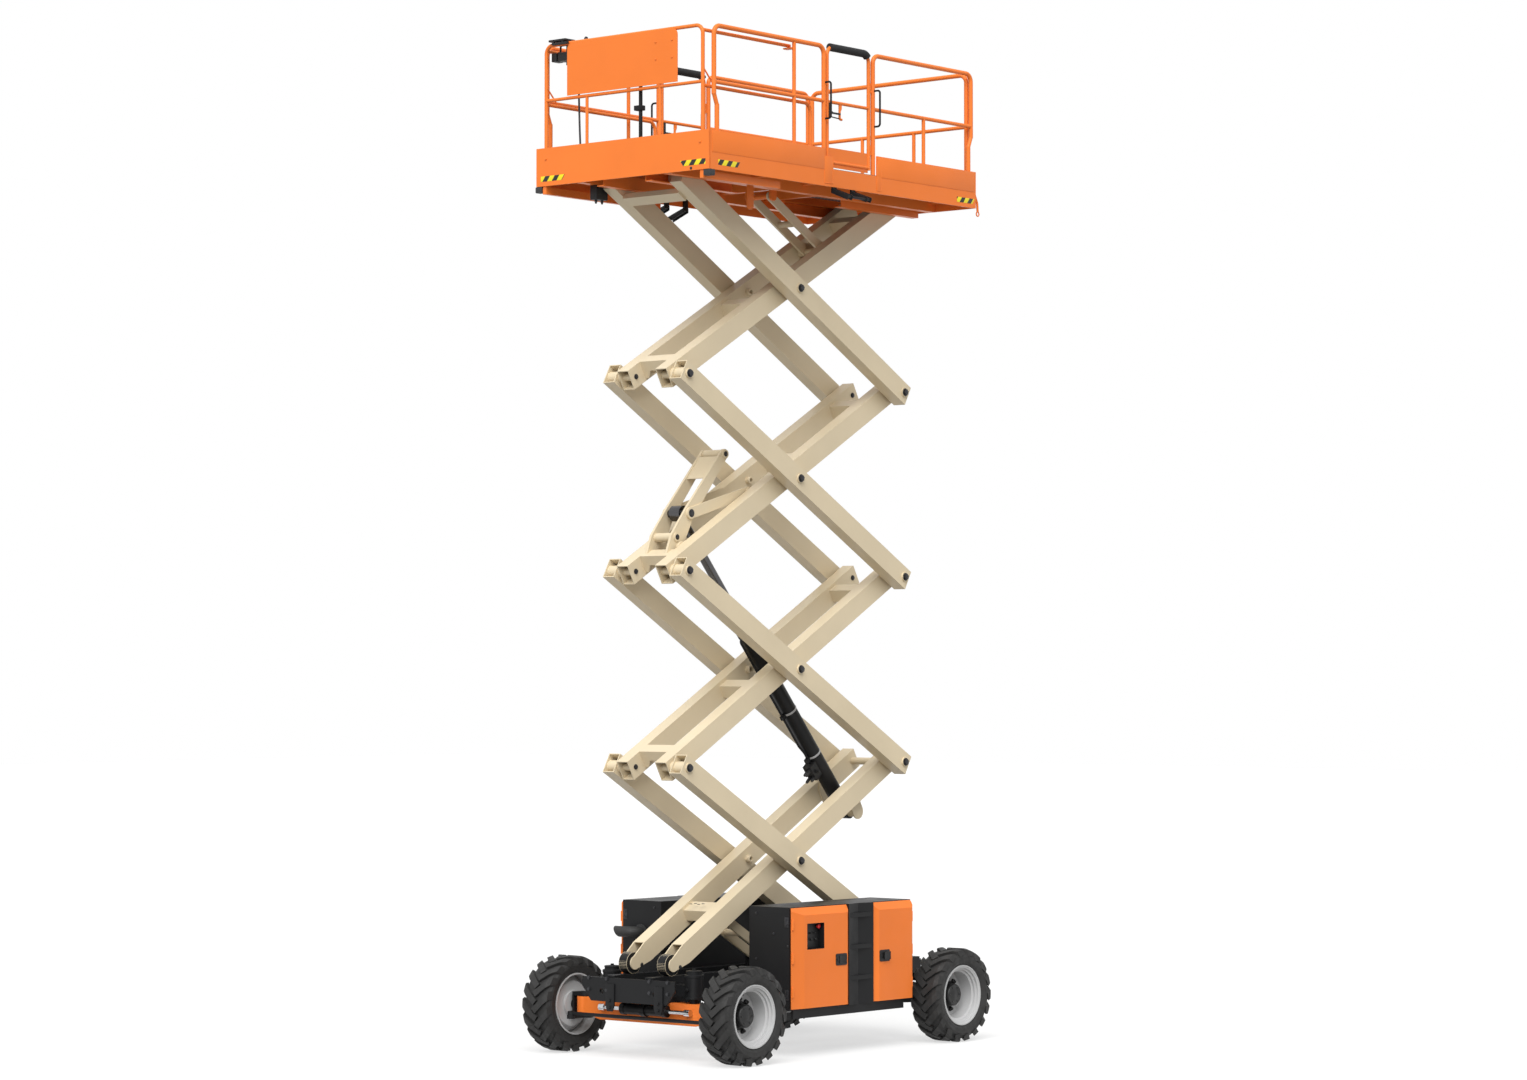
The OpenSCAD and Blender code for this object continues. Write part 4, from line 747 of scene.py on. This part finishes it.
sill_plates = bmesh.new()
board_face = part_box("deck_frame")[1][1] + 0.0001
sill_foot = 7.730
sill_head = 7.970
for side in (-1, 1):
    weld_y = side * 1.0165
    for x0, x1 in ((0.212, 0.330), (-0.479, -0.412)):
        sill = [(x1, sill_head), (x0, sill_head), (x0, 7.752), (x0 + 0.006, 7.736), (x0 + 0.022, sill_foot),
                (x1, sill_foot)]
        sheet_metal(sill_plates, sill, 0.0025, facing_side(side, side * board_face), 0.0008)
        weld = [(x0, weld_y, sill_head), (x0, weld_y, sill_foot), (x1, weld_y, sill_foot)]
        tube(sill_plates, eased(weld, 0.022), 0.0034, 8)
fit("sill_plates", sill_plates, orange_paint, "platform")

step_cheeks = bmesh.new()
cheek_t = 0.008
cheek = [(0.9885, 7.690), (1.0005, 7.690), (1.184, 7.622), (1.188, 7.606), (1.172, 7.576), (0.9885, 7.650)]
for side in (-1, 1):
    for x in (-0.123, -0.063, 0.143, 0.203):
        lay = Matrix(((0, 0, 1, x - cheek_t / 2), (side, 0, 0, 0), (0, 1, 0, 0), (0, 0, 0, 1)))
        sheet_metal(step_cheeks, cheek, cheek_t, lay)
fit("step_cheeks", step_cheeks, black_paint, "platform")

under_deck = bmesh.new()
slab(under_deck, (1.550, -0.555, 7.570), (1.700, -0.475, 7.6992), 0.008)
for x in (1.585, 1.665):
    turned(under_deck, [(0.013, 0.0), (0.013, 0.020), (0.009, 0.022), (0.009, 0.034), (0.0, 0.034)],
           (x, -0.515, 7.571), (0, 0, -1), 14)
fit("under_deck_box", under_deck, black_plastic, "platform")

beam_lugs = bmesh.new()
lug_y = 0.5462
lug = [(0.763, 7.74), (0.763, 7.505), (0.785, 7.482), (0.829, 7.482), (0.851, 7.505), (0.851, 7.74)]
for side in (-1, 1):
    sheet_metal(beam_lugs, lug, 0.010, facing_side(side, side * lug_y))
    turned(beam_lugs, [(0.016, 0.0095), (0.019, 0.0105), (0.024, 0.0125), (0.024, 0.0095)],
           (0.813, side * lug_y, 7.523), (0, side, 0), 20)
fit("beam_lugs", beam_lugs, orange_paint, "platform")

rear_hooks = bmesh.new()
for side in (-1, 1):
    y = side * 0.985
    hook = [(-1.906, y, 7.835), (-1.925, y, 7.835), (-1.965, y, 7.755), (-1.972, y, 7.675)]
    tube(rear_hooks, eased(hook, 0.03), 0.011, 12)
    ring = [(-1.972 + 0.020 * math.sin(a), y, 7.656 + 0.020 * math.cos(a))
            for a in (2 * math.pi * k / 20 for k in range(21))]
    tube(rear_hooks, ring, 0.006, 8)
    slab(rear_hooks, (-1.910, y - 0.022, 7.815), (-1.9052, y + 0.022, 7.860), 0.002)
fit("rear_hooks", rear_hooks, orange_paint, "platform")

hazard_tape, tree, surface, place = shader("hazard_tape")
axes = tree.nodes.new("ShaderNodeSeparateXYZ")
tree.links.new(place, axes.inputs[0])
run = tree.nodes.new("ShaderNodeMath")
run.operation = "SUBTRACT"
tree.links.new(axes.outputs["X"], run.inputs[0])
tree.links.new(axes.outputs["Y"], run.inputs[1])
slant = tree.nodes.new("ShaderNodeMath")
slant.operation = "MULTIPLY_ADD"
slant.inputs[1].default_value = 0.75
tree.links.new(axes.outputs["Z"], slant.inputs[0])
tree.links.new(run.outputs[0], slant.inputs[2])
pitch = tree.nodes.new("ShaderNodeMath")
pitch.operation = "PINGPONG"
pitch.inputs[1].default_value = 0.0575
tree.links.new(slant.outputs[0], pitch.inputs[0])
stripe = spread(tree, pitch.outputs[0], 0.0280, 0.0295, 0.0, 1.0)
tree.links.new(tint(tree, stripe, (0.008, 0.008, 0.008), (0.86, 0.72, 0.01)), surface.inputs["Base Color"])
sheen(tree, surface, place, 0.3, 0.45, 60.0)


tape_high = 0.048
tape_slope = 0.036


def tape(at, long, normal, slope):
    """A strip of tape on a board, cut square outside and on the slant inside."""
    strip = bmesh.new()
    normal = Vector(normal)
    up = Vector((0, 0, 1))
    along = up.cross(normal)
    lay = Matrix((along, up, normal)).transposed().to_4x4()
    lay.translation = at
    half_long = long / 2
    half_high = tape_high / 2
    outline = [(-half_long - min(slope, 0), -half_high), (half_long - max(slope, 0), -half_high),
               (half_long, half_high), (-half_long, half_high)]
    sheet_metal(strip, outline, 0.0006, lay, 0.0002)
    return strip


front_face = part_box("extension_front")[1][0] + 0.0001
for hand, at, slope in (("right", (front_face, -0.815, 7.765), tape_slope),
                        ("left", (front_face, 0.832, 7.768), -tape_slope)):
    fit("tape_front_" + hand, tape(at, 0.29, (1, 0, 0), slope), hazard_tape, "extension")
for hand, side in (("right", -1), ("left", 1)):
    for end, x, z, long in (("front", 1.635, 7.768, 0.29), ("rear", -1.75, 7.762, 0.27)):
        strip = tape((x, side * board_face, z), long, (0, side, 0), side * tape_slope)
        fit("tape_side_" + end + "_" + hand, strip, hazard_tape, "platform")

# Gates
# Tube frames hinged inward on the rear posts, with a foam sleeve on the top rail, a
# toe plate and a spring latch.
coat_nodes(orange_paint, "gate_left", "gate_right")
foam, tree, surface, place = shader("foam")
mottle(tree, surface, place, (0.016, 0.016, 0.017), (0.034, 0.034, 0.035), 35.0, 4.0)
surface.inputs["Roughness"].default_value = 0.85
surface.inputs["Specular IOR Level"].default_value = 0.25
roughen(tree, surface, noise(tree, place, 350.0, 3.0), 0.0008)
gate_y = pivots["gate_left_hinge"][1]
gate_top = 8.9554
gate_bend = 0.075
gate_mid = 8.4604
corner = [math.radians(5.0 * k) for k in range(11)]
for hand, side in (("left", 1), ("right", -1)):
    y = side * gate_y
    sleeve = bmesh.new()
    sleeve_line = [(0.222, y, gate_top)]
    sleeve_line += [(-0.263 - gate_bend * math.sin(a), y, gate_top - gate_bend + gate_bend * math.cos(a))
                    for a in corner]
    tube(sleeve, sleeve_line, 0.035, 24)
    pad = fit("gate_sleeve_" + hand, sleeve, foam, "gate_" + hand)
    catch = bmesh.new()
    slab(catch, (0.224, y - 0.022, 8.315), (0.250, y + 0.024, 8.452), 0.005)
    slab(catch, (0.092, y + side * 0.020 - 0.007, 8.357), (0.228, y + side * 0.020 + 0.007, 8.374), 0.004)
    tube(catch, [(0.070, y, 8.327), (0.234, y, 8.336)], 0.0055, 10)
    turned(catch, [(0.013, -0.016), (0.013, 0.016), (0.0, 0.018)],
           (0.215, y + side * 0.012, 8.367), (0, side, 0), 16)
    fit("gate_latch_" + hand, catch, black_plastic, "gate_" + hand)
    toe_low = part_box("gate_" + hand)[0][2]
    strip = bmesh.new()
    slab(strip, (-0.325, y - 0.003, toe_low - 0.026), (0.240, y + 0.003, toe_low + 0.030), 0.001)
    fit("gate_toe_strip_" + hand, strip, orange_paint, "gate_" + hand)
    strap = bmesh.new()
    tube(strap, eased([(0.076, y, gate_mid), (0.076, y, 8.323), (0.046, y, 8.323)], 0.020), 0.011, 12)
    tube(strap, eased([(0.058, y, gate_mid), (0.058, y, 8.420), (0.076, y, 8.390)], 0.015), 0.009, 12)
    fit("gate_latch_strap_" + hand, strap, orange_paint, "gate_" + hand)

# Sliding extension
# The front third of the deck rolls out on runners: a tread-plate floor, an orange
# front board and rails with a sheet shield, and the black control console.
coat_nodes(orange_paint, "extension_front", "extension_rails")
shell = bmesh.new()
side_cut = [(1.690, 8.766), (1.856, 8.766), (1.856, 8.962), (1.800, 8.962), (1.690, 8.895)]
sheet_metal(shell, side_cut, 0.138, facing_side(1, -0.700), 0.008)
panel_way = (-0.520, 0, 0.854)
sloped_panel = Matrix(((0.854, 0, -0.520, 1.690), (0, 1, 0, 0), (0.520, 0, 0.854, 8.895), (0, 0, 0, 1)))
slab(shell, (0.010, -0.692, -0.002), (0.118, -0.572, 0.004), 0.0015, sloped_panel)
turned(shell, [(0.032, 0.0), (0.030, 0.006), (0.024, 0.012), (0.020, 0.022), (0.011, 0.030), (0.010, 0.060),
               (0.016, 0.066), (0.018, 0.100), (0.014, 0.112), (0.0, 0.115)],
       sloped_panel @ Vector((0.064, -0.612, 0.003)), panel_way, 24)
toggle = [(0.009, 0.0), (0.009, 0.004), (0.005, 0.005), (0.003, 0.018), (0.004, 0.024), (0.0, 0.025)]
for x, y in ((0.034, -0.676), (0.062, -0.676), (0.034, -0.652)):
    turned(shell, toggle, sloped_panel @ Vector((x, y, 0.003)), panel_way, 12)
slab(shell, (1.752, -0.812, 8.812), (1.848, -0.690, 8.890), 0.006)
slab(shell, (1.752, -0.887, 8.812), (1.848, -0.826, 8.890), 0.006)
slab(shell, (1.780, -0.835, 8.868), (1.820, -0.805, 8.900), 0.003)
stalk = [(1.800, -0.820, 8.880), (1.800, -0.820, 8.955), (1.800, -0.700, 8.975)]
tube(shell, eased(stalk, 0.02), 0.009, 12)
slab(shell, (1.790, -0.853, 8.9768), (1.925, -0.650, 8.996), 0.005)
slab(shell, (1.9005, -0.815, 8.945), (1.925, -0.625, 8.966), 0.004)
for y in (-0.800, -0.690):
    slab(shell, (1.908, y - 0.010, 8.955), (1.922, y + 0.010, 8.985), 0.003)
slab(shell, (1.792, -0.828, 8.950), (1.808, -0.690, 8.982), 0.003)
console_shell = fit("console_shell", shell, black_plastic, "extension")
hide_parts("console")
console_stop = bmesh.new()
button = [(0.011, 0.0), (0.011, 0.012), (0.019, 0.014), (0.020, 0.020), (0.016, 0.026), (0.0, 0.028)]
turned(console_stop, button, sloped_panel @ Vector((0.092, -0.664, 0.003)), panel_way, 24)
fit("console_stop_button", console_stop, stop_red, "extension")

glands = bmesh.new()
gland_profile = [(0.0092, 0.046), (0.0112, 0.046), (0.0150, 0.014), (0.0200, 0.012), (0.0200, 0.0)]
turned(glands, gland_profile, cable_keys[0], (0, 0, -1), 20)
turned(glands, gland_profile, cable_keys[-1], (0, 0, 1), 20)
fit("cable_glands", glands, black_plastic, "extension")

bumpers = bmesh.new()
for side in (-1, 1):
    slab(bumpers, (1.835, side * 0.950, 7.645), (1.9045, side * 1.030, 7.7002), 0.010)
bolt(bumpers, (front_face, 0.813, 7.720), (1, 0, 0), 0.018, 0.008)
fit("front_bumpers", bumpers, cable_rubber, "extension")
screws = bmesh.new()
for y in (0.400, 0.589):
    for z in (8.704, 8.855):
        bolt(screws, (1.899, y, z), (1, 0, 0), 0.016, 0.006)
for y in (-0.898, 0.917):
    bolt(screws, (1.905, y, 7.942), (1, 0, 0), 0.020, 0.008)
fit("shield_screws", screws, orange_paint, "extension")

prop = bmesh.new()
prop_foot = (1.815, 0.150, 7.871)
prop_head = (1.815, 0.150, 8.72)
tube(prop, [prop_foot, prop_head], 0.017, 18)
turned(prop, [(0.045, 0.0), (0.045, 0.008), (0.020, 0.010)], prop_foot, (0, 0, 1), 24)
slab(prop, (1.785, 0.095, 8.288), (1.845, 0.180, 8.333), 0.006)
fit("shield_prop", prop, black_paint, "extension")
